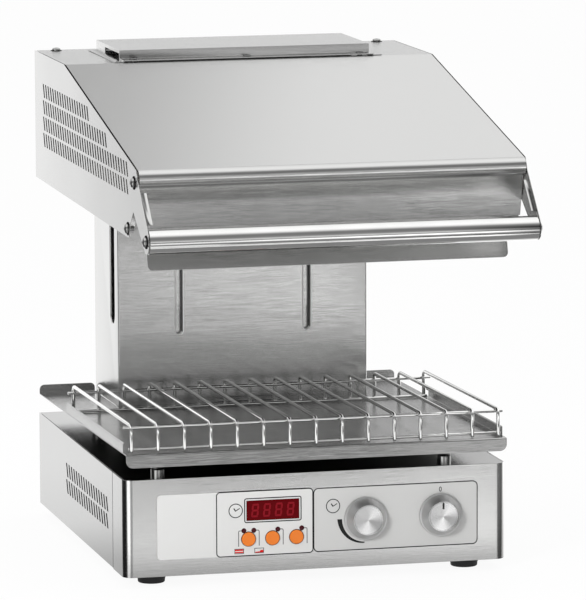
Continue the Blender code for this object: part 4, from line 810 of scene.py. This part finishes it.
def make_display():
    """The display's pane with rounded edges, and four dim digits of seven bars behind its face."""
    low, high, (middle_x, _, middle_z), _ = measured("display_window")
    pane = block(low, high)
    add_piece("display_pane", [pane], PANE, "root", "display_red", ("display_window",), bevel=0.0003)
    aside, above = (DIGIT_WIDE - BAR) / 2, (DIGIT_TALL - BAR) / 2
    bars = [(0, level * above, bar(DIGIT_WIDE / 2 - BAR_GAP, False)) for level in (-1, 0, 1)]
    upright = bar(above / 2 - BAR_GAP, True)
    bars += [(side * aside, level * above / 2, upright) for side in (-1, 1) for level in (-1, 1)]
    shapes = []
    for digit in range(4):
        for x, z, shape in bars:
            outline = shape + (middle_x + (digit - 1.5) * DIGIT_PITCH + x, z)
            outline[:, 0] += outline[:, 1] * BAR_LEAN
            shapes.append(prism(outline + (0, middle_z), low.y - 0.00003, low.y))
    add_piece("display_digits", shapes, DIGIT, "root", "display_red")
    turn = np.linspace(0, math.pi / 2, 8)
    dome = np.stack([0.0031 * np.sin(turn), 0.0009 * np.cos(turn)], 1)
    dome = np.concatenate([dome, [(0.0031, -0.0001), (0, -0.0001)]])
    lenses = [turned(dome, (x, OVERLAY_FRONT, LAMP_HEIGHT), FRONT, 32) for x in LAMP_SIDES]
    add_piece("lamp_lenses", lenses, LENS, "root", "display_red")


def make_buttons():
    """Push buttons: turned caps with a rounded rim and a faint dish."""
    for node in BUTTONS:
        low, high, (x, _, z), _ = measured(node)
        top, back = SKIN - low.y, SKIN - high.y
        turn = np.linspace(0, 1, 10)
        dish = np.stack([0.0066 * turn, top - 0.0003 + 0.0003 * turn ** 2], 1)
        rim = round_corners(
            [dish[-1], (0.0084, top), (0.0084, -0.0015), (0.0092, -0.0015), (0.0092, -0.0027),
             (0.0020, -0.0027), (0.0020, back), (0, back)],
            (0, 0.0009, 0, 0.0003, 0.0003, 0, 0.0003, 0), 5,
        )
        cap = turned(np.concatenate([dish, rim[1:]]), (x, SKIN, z), FRONT, 64)
        add_piece(node + "_cap", [cap], ORANGE, node[7:] + "_button", "button_orange", (node,))


def make_knobs():
    """Spun knobs: a wide skirt that sweeps up to the grip, a bright rim and a faintly dished face."""
    face, grip = 0.0186, 0.0246
    for name in ("timer", "power"):
        node = "knob_" + name
        low, high, (x, _, z), skirt = measured(node)
        top, near = SKIN - low.y, SKIN - high.y
        turn = np.linspace(0, 1, 14)
        dish = np.stack([(face - 0.0016) * turn, top - 0.00045 + 0.0001 * turn ** 2], 1)
        line = round_corners(
            [dish[-1], (face - 0.0012, top), (face, top), (grip, near + 0.0044), (grip, near + 0.0034),
             (skirt, near + 0.0031), (skirt, near), (0.0033, near), (0.0033, near + 0.010),
             (0, near + 0.010)],
            (0, 0.0002, 0.0012, 0.0008, 0.0002, 0.0006, 0.0003, 0.0002, 0, 0), 8,
        )
        material = spun("spun_" + name, (x, SKIN, z), face)
        knob = turned(np.concatenate([dish, line[1:]]), (x, SKIN, z), FRONT, 128)
        add_piece(node + "_spun", [knob], material, name + "_knob", "knob_aluminium", (node,))
    y = SKIN - top + 0.00045
    pointer = prism(rounded(x - 0.0011, x + 0.0011, z + 0.0088, z + 0.0166, 0.0004, 3), y - 0.0004, y)
    add_piece("knob_power_pointer", [pointer], INK, "power_knob", "knob_aluminium")


# Tray, in its own frame: Y runs back along its floor from the front bend, Z rises from the floor
TILT = math.radians(0.95)
TRAY_FRONT = 0.5270
TRAY_HEIGHT = 0.1643
TRAY_HALF = 0.23585
TRAY_LONG = 0.5240
APRON = 0.0162
APRON_CORNER = 0.0085
NOTCH_HALF = 0.1635
NOTCH_START = 0.3815
RIM_BACK = 0.0100
RIM_CURL = 0.002


def tray_place(y, z):
    """World Y and Z of a place in the tray's own frame."""
    return (REAR_Y - TRAY_FRONT + y * math.cos(TILT) + z * math.sin(TILT),
            TRAY_HEIGHT - y * math.sin(TILT) + z * math.cos(TILT))


def in_tray(shape, side=1):
    """A shape built in the tray's own frame, put in its place, on one side or mirrored to the other."""
    places, faces = shape
    y, z = tray_place(places[:, 1], places[:, 2])
    return np.stack([places[:, 0] * side, y, z], 1), faces


def make_tray():
    """The tray: floor and apron bent from one sheet round the column, rims with rolled top edges."""
    half, past = TRAY_HALF, 0.002
    line = round_corners([(TRAY_LONG, 0), (0, 0), (0, -APRON)], (0, 0.0024, 0), 12)
    cuts = [in_tray(block((-NOTCH_HALF, NOTCH_START, -REACH), (NOTCH_HALF, TRAY_LONG + REACH, REACH)))]
    turn = np.linspace(0, math.pi / 2, 13)
    arc = np.stack([half - APRON_CORNER * (1 - np.cos(turn)), APRON_CORNER * (1 - np.sin(turn)) - APRON], 1)
    ends = [(half - APRON_CORNER, -APRON - past), (half + past, -APRON - past)]
    corner = np.concatenate([[(half + past, APRON_CORNER - APRON)], arc, ends])
    cuts += [in_tray(prism(corner, -0.002, 0.0032), side) for side in (-1, 1)]
    sheet = in_tray(bent_sheet(line, SHEET, -half, half))
    # The tray's underside takes painted shade, so the gap under the tray reads black
    add_piece(
        "tray_folded", [sheet], SHEET_TRAY, "root", "steel", ("tray",), cuts,
        bevel=0.0003, inside=((0, 0, -1), PAINTED_SHADE_SHEET),
    )
    turn = np.linspace(0, math.pi, 13)[1:]
    curl = np.stack([half - RIM_CURL + RIM_CURL * np.cos(turn), RIM_BACK + RIM_CURL * np.sin(turn)], 1)
    under = -SHEET - 0.00005
    foot = round_corners([(half - 0.008, under), (half, under), (half, RIM_BACK)], (0, 0.0024, 0), 8)
    profile = np.concatenate([foot, curl, [(half - 0.004, 0.0088)]])
    side_rim = bent_sheet(profile, SHEET * 0.9, 0.0190, 0.3530, "Y")
    upstand = rounded(NOTCH_HALF, half, -SHEET, 0.0112, (0, 0, 0.0060, 0.0060), 8)
    rear_rim = prism(upstand, TRAY_LONG - SHEET, TRAY_LONG)
    rims = [in_tray(rim, side) for side in (-1, 1) for rim in (side_rim, rear_rim)]
    add_piece("tray_rims", rims, SHEET_TRAY, "root", "steel", bevel=0.0002)


def add_rod(node, rounding, steps, sides):
    """A polished round rod or post between the ends of its node."""
    low, high, (x, y, _), radius = measured(node)
    ends = [(0, high.z), (radius, high.z), (radius, low.z), (0, low.z)]
    rod = turned(round_corners(ends, (0, rounding, rounding, 0), steps), (x, y, 0), UP, sides)
    add_piece(node + "_turned", [rod], POLISHED, NODES[node]["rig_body"], "bright_steel", (node,))


def make_posts():
    """Polished posts between the base and the tray."""
    for place in ("front_left", "front_right", "rear_left", "rear_right"):
        add_rod("tray_post_" + place, 0.0006, 4, 72)


# Wire rack: number, pitch and radius of its wires, radius of the cross wires, places in the tray's frame
RACK_WIRES = 15
RACK_PITCH = 0.0325
WIRE_RADIUS = 0.0022
CROSS_RADIUS = 0.0019
RACK_FRONT = 0.0095
RACK_REAR = 0.3485
RACK_HEIGHT = 0.0335
RACK_FOOT = 0.0006


def make_rack():
    """The wire rack: each long wire bends down at both ends, and cross wires join them."""
    ends = [
        (RACK_FRONT, RACK_FOOT), (RACK_FRONT, RACK_HEIGHT), (RACK_REAR, RACK_HEIGHT), (RACK_REAR, RACK_FOOT),
    ]
    world = np.array([tray_place(y, z) for y, z in round_corners(ends, (0, 0.007, 0.007, 0), 12)])
    reach = (RACK_WIRES - 1) / 2 * RACK_PITCH
    shapes = []
    for index in range(RACK_WIRES):
        path = np.column_stack([np.full(len(world), index * RACK_PITCH - reach), world])
        shapes.append(tube(path, WIRE_RADIUS, (1, 0, 0)))
    gap = WIRE_RADIUS + CROSS_RADIUS - 0.0009
    for y, z, stub in ((RACK_FRONT + 0.0085, RACK_HEIGHT - gap, 0.008), (RACK_FRONT + gap, 0.0046, 0.0035),
                       (RACK_REAR - gap, RACK_HEIGHT - 0.008, 0.008), (RACK_REAR - gap, 0.0021, 0.0035)):
        path = [(x, *tray_place(y, z)) for x in np.linspace(-reach - stub, reach + stub, 5)]
        shapes.append(tube(path, CROSS_RADIUS, UP))
    add_piece("wire_rack_bright", shapes, WIRE, "rack", "bright_wire", ("wire_rack",))


# Column: slots in front and in each side (place, height of the lower arc's middle, half width), and plugs
SLOT_ASIDE = 0.0830
SLOT_CENTRE = 0.2516
SLOT_HALF = 0.0043
SIDE_SLOT_BACK = 0.10985
SIDE_SLOT_CENTRE = 0.27205
SIDE_SLOT_HALF = 0.01255
LIP_ROLL = 0.0013
PLUG_ASIDE = 0.1085
PLUG_HEIGHT = 0.1793


def slot_line(middle, half, bottom, top, steps=12):
    """The edge of a slot that is open at the top: down one side, round the bottom and up the other."""
    turn = np.linspace(math.pi, math.tau, steps + 1)
    arc = np.stack([middle + half * np.cos(turn), bottom + half + half * np.sin(turn)], 1)
    return np.concatenate([[(middle - half, top)], arc, [(middle + half, top)]])


def rolled_lip(middle, centre_z, top, inner, deep, place):
    """A lip rolled inwards: a quarter round, a wall, and its back, carried round the slot's edge.

    place turns a line of the slot's plane and a depth behind the face into X, Y and Z.
    """
    turn = np.linspace(0, math.pi / 2, 7)
    sheet = LIP_ROLL * 0.6
    arcs = [
        np.stack([inner + LIP_ROLL - radius * np.sin(turn), LIP_ROLL - radius * np.cos(turn)], 1)
        for radius in (LIP_ROLL, LIP_ROLL - sheet)
    ]
    section = np.concatenate([arcs[0], [(inner, deep), (inner + sheet, deep)], arcs[1][::-1]])
    columns = []
    for offset, depth in section:
        line = slot_line(middle, offset, centre_z - offset, top, 20)
        columns.append(np.stack(np.broadcast_arrays(*place(line, depth)), 1))
    return capped(np.stack(columns, 1))


def make_column():
    """The column: a folded shell with slots whose edges are rolled inwards, and flat sheets in it."""
    low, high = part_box("column_shell")
    half, rear, front, top = high.x, high.y, low.y, high.z
    corners = [(-half, rear), (-half, front), (half, front), (half, rear)]
    wrap = round_corners(corners, (0, 0.002, 0.002, 0), 8)
    cuts, front_lips, side_lips = [], [], []
    for side in (-1, 1):
        aside, back = side * SLOT_ASIDE, REAR_Y - SIDE_SLOT_BACK
        wide = SLOT_HALF + LIP_ROLL
        cuts.append(hole(slot_line(aside, wide, SLOT_CENTRE - wide, top + REACH), front))
        front_lips.append(rolled_lip(
            aside, SLOT_CENTRE, top, SLOT_HALF, 0.0088,
            lambda line, deep: (line[:, 0], front + deep, line[:, 1]),
        ))
        wide = SIDE_SLOT_HALF + LIP_ROLL
        line = slot_line(back, wide, SIDE_SLOT_CENTRE - wide, top + REACH)
        cuts.append(hole(line, side * (half - SHEET / 2), "X", 0.005))
        side_lips.append(rolled_lip(
            back, SIDE_SLOT_CENTRE, top, SIDE_SLOT_HALF, 0.0040,
            lambda line, deep: (side * (half - deep), line[:, 0], line[:, 1]),
        ))
        cuts.append(hole(circle(side * PLUG_ASIDE, PLUG_HEIGHT, 0.0085), front))
    cuts.append(hole(rounded(-0.0365, 0.0365, 0.1581, 0.1643, 0.003, 8), front))
    shell = bent_sheet(wrap, SHEET, low.z, top, "Z")
    add_piece("column_folded", [shell], SHEET_WRAP, "root", "steel", ("column_shell",), cuts, bevel=0.0002)
    add_piece("column_slot_lips", front_lips, SATIN, "root", "steel", inside=((-0.94, -0.34, 0), LIP_SHADE))
    add_piece("column_side_lips", side_lips, SHEET_LIP, "root", "steel")
    plug = round_corners(
        [(0, 0), (0.0081, 0), (0.0081, -0.0010), (0.0098, -0.0010), (0.0098, -0.0020), (0, -0.0020)],
        (0, 0.0004, 0, 0, 0, 0), 5,
    )
    plugs = [turned(plug, (side * PLUG_ASIDE, front + 0.0005, PLUG_HEIGHT), FRONT, 64) for side in (-1, 1)]
    plugs.append(prism(rounded(-0.0361, 0.0361, 0.1585, 0.1639, 0.0026, 8), front + 0.0004, front + 0.0016))
    add_piece("column_plugs", plugs, SHEET_X, "root", "steel", bevel=0.0002)
    for name, body, depth, foot, head in (("slot_shutters", "hood", 0.0092, 0.2770, 0.4400),
                                          ("slot_liners", "root", 0.0104, 0.2400, 0.2960)):
        strips = [prism(rectangle(x - 0.006, x + 0.006, foot, head), front + depth, front + depth + 0.0006)
                  for x in (-SLOT_ASIDE, SLOT_ASIDE)]
        add_piece(name, strips, SHEET_X, body, "plain_steel", bevel=0.0001)
    softened("column_rear_cover", SHEET_X, "plain_steel")
    softened("column_foot_plate", SHEET_PLAIN, "plain_steel")
    softened("column_top_plate", SHEET_PLAIN, "plain_steel")


def make_lift():
    """Guide rods and the gas spring's rod, turned round; the rest keep their solids."""
    for node in ("guide_rod_left", "guide_rod_right", "gas_spring_rod"):
        add_rod(node, 0.0008, 3, 48)
    low, high, (x, y, _), radius = measured("gas_spring_cylinder")
    outline = round_corners(
        [(0.0043, high.z), (radius, high.z), (radius, low.z), (0, low.z),
         (0, low.z + 0.004), (0.0043, low.z + 0.004)],
        (0.0005, 0.0015, 0.0015, 0, 0, 0), 3,
    )
    cylinder = turned(outline, (x, y, 0), UP, 48)
    add_piece("gas_spring_tube", [cylinder], ENAMEL, "root", "black_paint", ("gas_spring_cylinder",))
    softened("carriage", CAST, "cast_aluminium", 0.0006)
    for side in ("left", "right"):
        coat_node("guide_bush_" + side, BRASS)


# Hood: distance before its rear and height of the crease and of the slope's front end, and its front
CREASE = (0.1860, 0.5980)
SLOPE_END = (0.5990, 0.5150)
NOSE_RADIUS = 0.0108
NOSE_STEP = 0.0130
HOOD_FRONT = 0.5820
HOOD_FOOT = 0.4430
SHEET_OVERHANG = 0.0010


def hood_front_line():
    """The front sheet's outer line: the round nose, a step, the flat front and its return."""
    top = np.array([REAR_Y - CREASE[0], CREASE[1]])
    nose = np.array([REAR_Y - SLOPE_END[0], SLOPE_END[1]])
    slope = (nose - top) / np.linalg.norm(nose - top)
    under = np.array([-slope[1], slope[0]])
    centre = nose + under * (0.00005 + NOSE_RADIUS) + slope * 0.0003
    turn = np.linspace(math.atan2(-under[1], -under[0]), 1.5 * math.pi, 33)
    arc = centre + np.stack([np.cos(turn), np.sin(turn)], 1) * NOSE_RADIUS
    last, front = arc[-1], REAR_Y - HOOD_FRONT
    rest = [last, last + (NOSE_STEP - NOSE_RADIUS, 0), (front, HOOD_FOOT), (front + 0.0060, HOOD_FOOT)]
    return np.concatenate([arc, round_corners(rest, (0, 0.0018, 0.0015, 0), 6)[1:]])


def make_hood():
    """The hood: side plates, bent top sheet, front sheet with its round nose, rear panel and vent cap."""
    side_plate("hood_left_side", -1, (0.575, 0.478), (0.045, 0.563))
    side_plate("hood_right_side", 1, (0.575, 0.478), (0.045, 0.563))
    top = [(REAR_Y, CREASE[1]), (REAR_Y - CREASE[0], CREASE[1]), (REAR_Y - SLOPE_END[0], SLOPE_END[1])]
    for name, node, line, bevel in (
        ("hood_top_bent", "hood_top_panel", round_corners(top, (0, 0.004, 0), 10), EDGE),
        ("hood_front_rolled", "hood_front_panel", hood_front_line(), 0.0003),
    ):
        low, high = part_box(node)
        sheet = bent_sheet(line, SHEET, low.x, high.x + SHEET_OVERHANG)
        add_piece(name, [sheet], SHEET_X, "hood", "steel", (node,), bevel=bevel)
    # The rear panel's inner face, looking into the hood, takes painted shade
    softened("hood_rear_panel", SHEET_X, "steel", inside=((0, -1, 0), PAINTED_SHADE_SHEET))
    softened("vent_cap", SHEET_X, "steel", 0.0003)
    softened("heater_frame", SHEET_X, "steel", 0.0003)
    coat_node("glass_panel", GLASS)
    coat_node("insulating_board", FIBRE)
    for side in ("left", "right"):
        coat_node("heating_element_" + side, SHEATH)


def make_handle():
    """The handle: a polished tube with rounded ends."""
    low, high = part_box("handle_tube")
    half, radius, wall, plug = high.x, (high.z - low.z) / 2, 0.0015, 0.006
    centre = (0, (low.y + high.y) / 2, (low.z + high.z) / 2)
    outline = round_corners(
        [(0.0033, half), (radius, half), (radius, -half), (0.0033, -half), (0.0033, plug - half),
         (radius - wall, plug - half), (radius - wall, half - plug), (0.0033, half - plug)],
        (0.0003, 0.0006, 0.0006, 0.0003, 0, 0, 0, 0), 4, closed=True,
    )
    handle = turned(outline, centre, (1, 0, 0), 96)
    add_piece("handle_tube_polished", [handle], TUBE, "hood", "bright_steel", ("handle_tube",))


def screw_head(place, axis, radius, height=0.0042, length=0.0075):
    """A domed screw with a six-sided socket: a turned profile whose socket walls follow a hexagon."""
    shank, socket, deep, sides = 0.003, 0.0024, 0.0022, 48
    turn = np.linspace(0, math.pi / 2, 9)
    shoulder, brim = height / 3, socket * 1.3
    dome = np.stack([brim + (radius - brim) * np.sin(turn), shoulder + (height - shoulder) * np.cos(turn)], 1)
    outline = np.concatenate([
        [(0, height - deep), (socket, height - deep), (socket, height)], dome,
        [(radius, 0), (shank, 0), (shank, -length), (0, -length)],
    ])
    shape, faces = turned(outline, (0, 0, 0), UP, sides)
    rows = shape.reshape(len(outline), sides, 3)
    angle = np.linspace(0, math.tau, sides, endpoint=False)
    hexagon = math.cos(math.pi / 6) / np.cos((angle + math.pi / 6) % (math.pi / 3) - math.pi / 6)
    rows[1:3, :, :2] *= hexagon[None, :, None] * 1.05
    aside = aside_of(axis)
    basis = np.stack([aside, np.cross(axis, aside), axis])
    return rows.reshape(-1, 3) @ basis + np.asarray(place), faces


def washer(place, axis, radius):
    """A flat ring under a screw's head."""
    profile = [(0.0032, 0), (0.0032, 0.0004), (radius, 0.0004), (radius, 0)]
    return turned(round_corners(profile, (0, 0, 0.0002, 0), 3), place, axis, 48)


def make_screws():
    """The screws of the side plates, the vent cap and the hood's top, on black washers."""
    washers = []
    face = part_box("hood_right_side")[1].x + FIT
    for place in ("nose", "body", "handle"):
        for name, side in (("left", -1), ("right", 1)):
            node = "screw_%s_%s" % (place, name)
            _, _, (_, y, z), _ = measured(node)
            spot, axis = (side * face, y, z), (side, 0, 0)
            head = screw_head(spot, axis, 0.0060)
            add_piece(node + "_socket", [head], SCREW_STEEL, "hood", "bright_steel", (node,))
            washers.append(washer(spot, axis, 0.0080))
    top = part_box("hood_top_panel")[1].z
    flange = top + FIT + SHEET
    for name, sides, back, foot, size, ring, finish in (
        ("cap_screws", (-0.146, 0, 0.146), 0.1720, flange, (0.0052, 0.0030), 0.0068, CAP_SCREW_STEEL),
        ("top_screws", (-0.211, 0.211), 0.0105, top, (0.0055, 0.0034), 0.0071, SCREW_STEEL),
    ):
        spots = [(x, REAR_Y - back, foot) for x in sides]
        heads = [screw_head(spot, UP, *size, length=0.004) for spot in spots]
        add_piece(name, heads, finish, "hood", "bright_steel")
        washers += [washer(spot, UP, ring) for spot in spots]
    add_piece("screw_washers", washers, SLOT_SHADE_AND_WASHER_BLACK, "hood", "black_paint")


def coat_inner_nodes():
    """Finishes of the pieces inside the base."""
    for node in ("spindle_timer", "spindle_power"):
        coat_node(node, SHEET_PLAIN)
    for node in ("switch_timer", "switch_power", "terminal_block"):
        coat_node(node, SWITCH)
    coat_node("control_board", BOARD)


# Photographed view: place, turn about Z, lean and roll, and lens in the photo's pixels
CAMERA_PLACE = (-1.551, -6.28625, 1.2685)
YAW, PITCH, ROLL = 0.2422, 0.1404, -0.0043
FOCAL_PIXELS, PHOTO_HEIGHT = 5313.6, 600
SENSOR = 36


def make_camera():
    """The photographed view: place, turn and lens worked out from the object's straight edges."""
    forward = np.array([math.sin(YAW) * math.cos(PITCH), math.cos(YAW) * math.cos(PITCH), -math.sin(PITCH)])
    right = np.array([math.cos(YAW), -math.sin(YAW), 0.0])
    up = np.cross(right, forward)
    c, s = math.cos(ROLL), math.sin(ROLL)
    columns = (c * right + s * up, -s * right + c * up, -forward)
    matrix = Matrix([[column[row] for column in columns] for row in range(3)]).to_4x4()
    matrix.translation = CAMERA_PLACE
    data = bpy.data.cameras.new("photographed_view")
    data.sensor_width = SENSOR
    data.lens = FOCAL_PIXELS * SENSOR / PHOTO_HEIGHT
    data.shift_x, data.shift_y = 0.02097, -0.0522
    data.clip_end = 100
    obj = linked("photographed_view", data)
    obj.matrix_world = matrix
    bpy.context.scene.camera = obj


# Floor levels that metal sees, by place along Y
FLOOR = (
    (-3.8, 0.30), (-3.3, 0.32), (-3.0, 0.42), (-2.6, 1.20), (-2.2, 1.50), (-1.93, 1.45), (-1.68, 1.34),
    (-1.52, 1.35), (-1.36, 0.50), (-1.20, 0.25), (-1.10, 0.28), (-1.00, 0.50), (-0.90, 1.15), (-0.76, 1.25),
    (-0.60, 1.28), (-0.48, 1.38), (-0.36, 1.26), (-0.28, 0.60), (0.0, 0.70), (0.25, 1.12), (0.7, 1.25),
)

# Share of white in the floor that the camera sees: the rest takes the shadow
FLOOR_WHITE = 0.93

# Shares of the floor's and the sky's level, by compass angle: the front is 0 and the right is 90 degrees
SIDES = (
    (-180, 1.0), (-150, 1.0), (-140, 0.03), (-74, 0.03), (-66, 0.6), (-60, 2.0), (-34, 2.0), (-26, 0.5),
    (-5, 0.45), (-1.4, 1.0), (21, 1.0), (29, 0.12), (92, 0.12), (104, 1.0), (180, 1.0),
)

# Sky levels by degrees along the arc from the front horizon (0) over the top to the back horizon (180)
SKY = (
    (-90, 0.30), (-4, 0.75), (2, 0.80), (8, 0.66), (16, 0.30), (30, 0.24), (42, 0.25), (52, 0.55), (62, 1.10),
    (75, 1.35), (100, 1.30), (116, 1.20), (135, 1.0), (180, 1.0), (184, 0.7), (270, 0.42),
)

# Glowing cards: ends along X, Y and Z of the low and the high edge, and a level, or a step of it along X
CARDS = (
    ("back_left_card", (-1.6, -0.25), (1.25, 0.0), (1.25, 0.95), (-0.62, -0.44, 0.74, 1.22)),
    ("back_low_card", (-0.2, 1.4), (1.28, 0.62), (1.28, 1.0), 0.80),
    ("back_right_card", (-0.5, 1.4), (1.3, 1.0), (1.6, 2.2), (0.05, 0.5, 0.60, 1.08)),
    ("right_low_card", (0.25, 1.6), (1.26, 0.0), (1.26, 0.56), (0.38, 0.80, 0.52, 0.85)),
    ("apron_card", (-0.6, 0.8), (-0.6, 0.099), (-0.6, 0.129), (0.16, 0.26, 0.40, 1.3)),
    ("under_card", (-0.6, 0.9), (-0.41, 0.30), (-0.28, 0.30), 0.28),
)

# Soft lamps: place, size and power
LAMPS = (("front_fill", (-1.5, -1.9, 1.0), 0.5, 36), ("top_fill", (0.2, -0.3, 2.4), 1.6, 14))
LAMP_TARGET = (0, 0, 0.2)


def round_about(finish, x, y):
    """A share of light by compass angle."""
    return finish.ramp(finish.math_of("ARCTAN2", x, 0 - y) / math.tau + 0.5, SIDES, 3.0)


def add_flat(name, corners, finish):
    """A flat piece of the studio with its finish."""
    face = np.arange(len(corners))[None, :]
    mesh = mesh_of(name, [(np.array(corners, float), [face])], outwards=False)
    mesh.materials.append(finish.material)
    return linked(name, mesh)


def make_floor():
    """A pale floor: white to the camera, pale grey to metal and glass, with the object's soft shadow."""
    finish = Finish("pale_floor")
    seen, glossy, through = finish.rays()
    x, y, _ = finish.parts(finish.place())
    low, high = FLOOR[0][0], FLOOR[-1][0]
    level = finish.ramp((y - low) / (high - low), FLOOR, 2.0)
    dip = finish.between(y, -1.00, -0.94) * finish.between(y, -0.77, -0.82)
    dip = dip * finish.between(x, -0.10, -0.03) * finish.between(x, 0.66, 0.56)
    level = level * (1 - dip * finish.between(x, 0.10, 0.34, 0.80, 1.0))
    half = BASE_HIGH.x
    beyond = finish.math_of("MAXIMUM", x - half, 0.0) + finish.math_of("MINIMUM", x + half, 0.0)
    level = level * finish.between(x, -0.1, 0.75, 0.84, 1.36) * round_about(finish, beyond, y - SKIN)
    glow = finish.emit(finish.mix(seen, finish.grey(level), (1.0, 1.0, 1.0)))
    paint = finish.node("BsdfDiffuse", {}, {"Color": (0.8, 0.8, 0.8)})
    finish.show(finish.node("MixShader", {}, {0: seen * FLOOR_WHITE + glossy + through, 1: paint, 2: glow}))
    rim = circle(0, 0, 30.0, 96)
    floor = add_flat("floor", np.column_stack([rim, np.full(len(rim), -0.0002)]), finish)


def make_sky():
    """The studio's light: levels along the arc from front to back, and white to the camera."""
    world = bpy.data.worlds.new("studio")
    world.use_nodes = True
    bpy.context.scene.world = world
    finish = Finish("studio", world.node_tree)
    x, y, z = finish.parts(finish.node("TexCoord", {}, {}, "Generated"))
    turn = finish.math_of("ARCTAN2", z, 0 - y) / math.tau
    level = finish.ramp(finish.math_of("FRACT", turn + 0.25), SKY, 2.0)
    seen = finish.rays()[0]
    flat = finish.between(finish.math_of("ABSOLUTE", z), 0.30, 0.60, 1.0, 0.0)
    level = level * (flat * (round_about(finish, x, y) - 1.0) + 1.0)
    background = finish.tree.nodes["Background"]
    finish.put(background.inputs["Color"], finish.grey(level * (1 - seen) + seen))
    background.inputs["Strength"].default_value = 1.0


def add_card(name, ends, low, high, level):
    """A glowing card of the studio, seen by metal only."""
    finish = Finish(name)
    if isinstance(level, tuple):
        level = finish.between(finish.parts(finish.place())[0], *level)
    finish.show(finish.emit((1.0, 1.0, 1.0), level))
    card = add_flat(name, [(ends[0], *low), (ends[1], *low), (ends[1], *high), (ends[0], *high)], finish)
    card.visible_camera = False
    card.visible_diffuse = False
    card.visible_shadow = False


def add_lamp(name, place, size, power):
    """A soft square lamp that points at the object and that metal doesn't mirror."""
    data = bpy.data.lights.new(name, "AREA")
    data.shape = "RECTANGLE"
    data.size = data.size_y = size
    data.energy = power
    obj = linked(name, data)
    obj.location = place
    obj.rotation_euler = (Vector(LAMP_TARGET) - Vector(place)).to_track_quat("-Z", "Y").to_euler()
    obj.visible_glossy = False


make_base()
make_feet()
make_gland()
make_panel()
make_display()
make_buttons()
make_knobs()
make_tray()
make_posts()
make_rack()
make_column()
make_lift()
make_hood()
make_handle()
make_screws()
coat_inner_nodes()
make_camera()
make_floor()
make_sky()
for card in CARDS:
    add_card(*card)
for lamp in LAMPS:
    add_lamp(*lamp)

bpy.context.scene.view_settings.view_transform = "Standard"
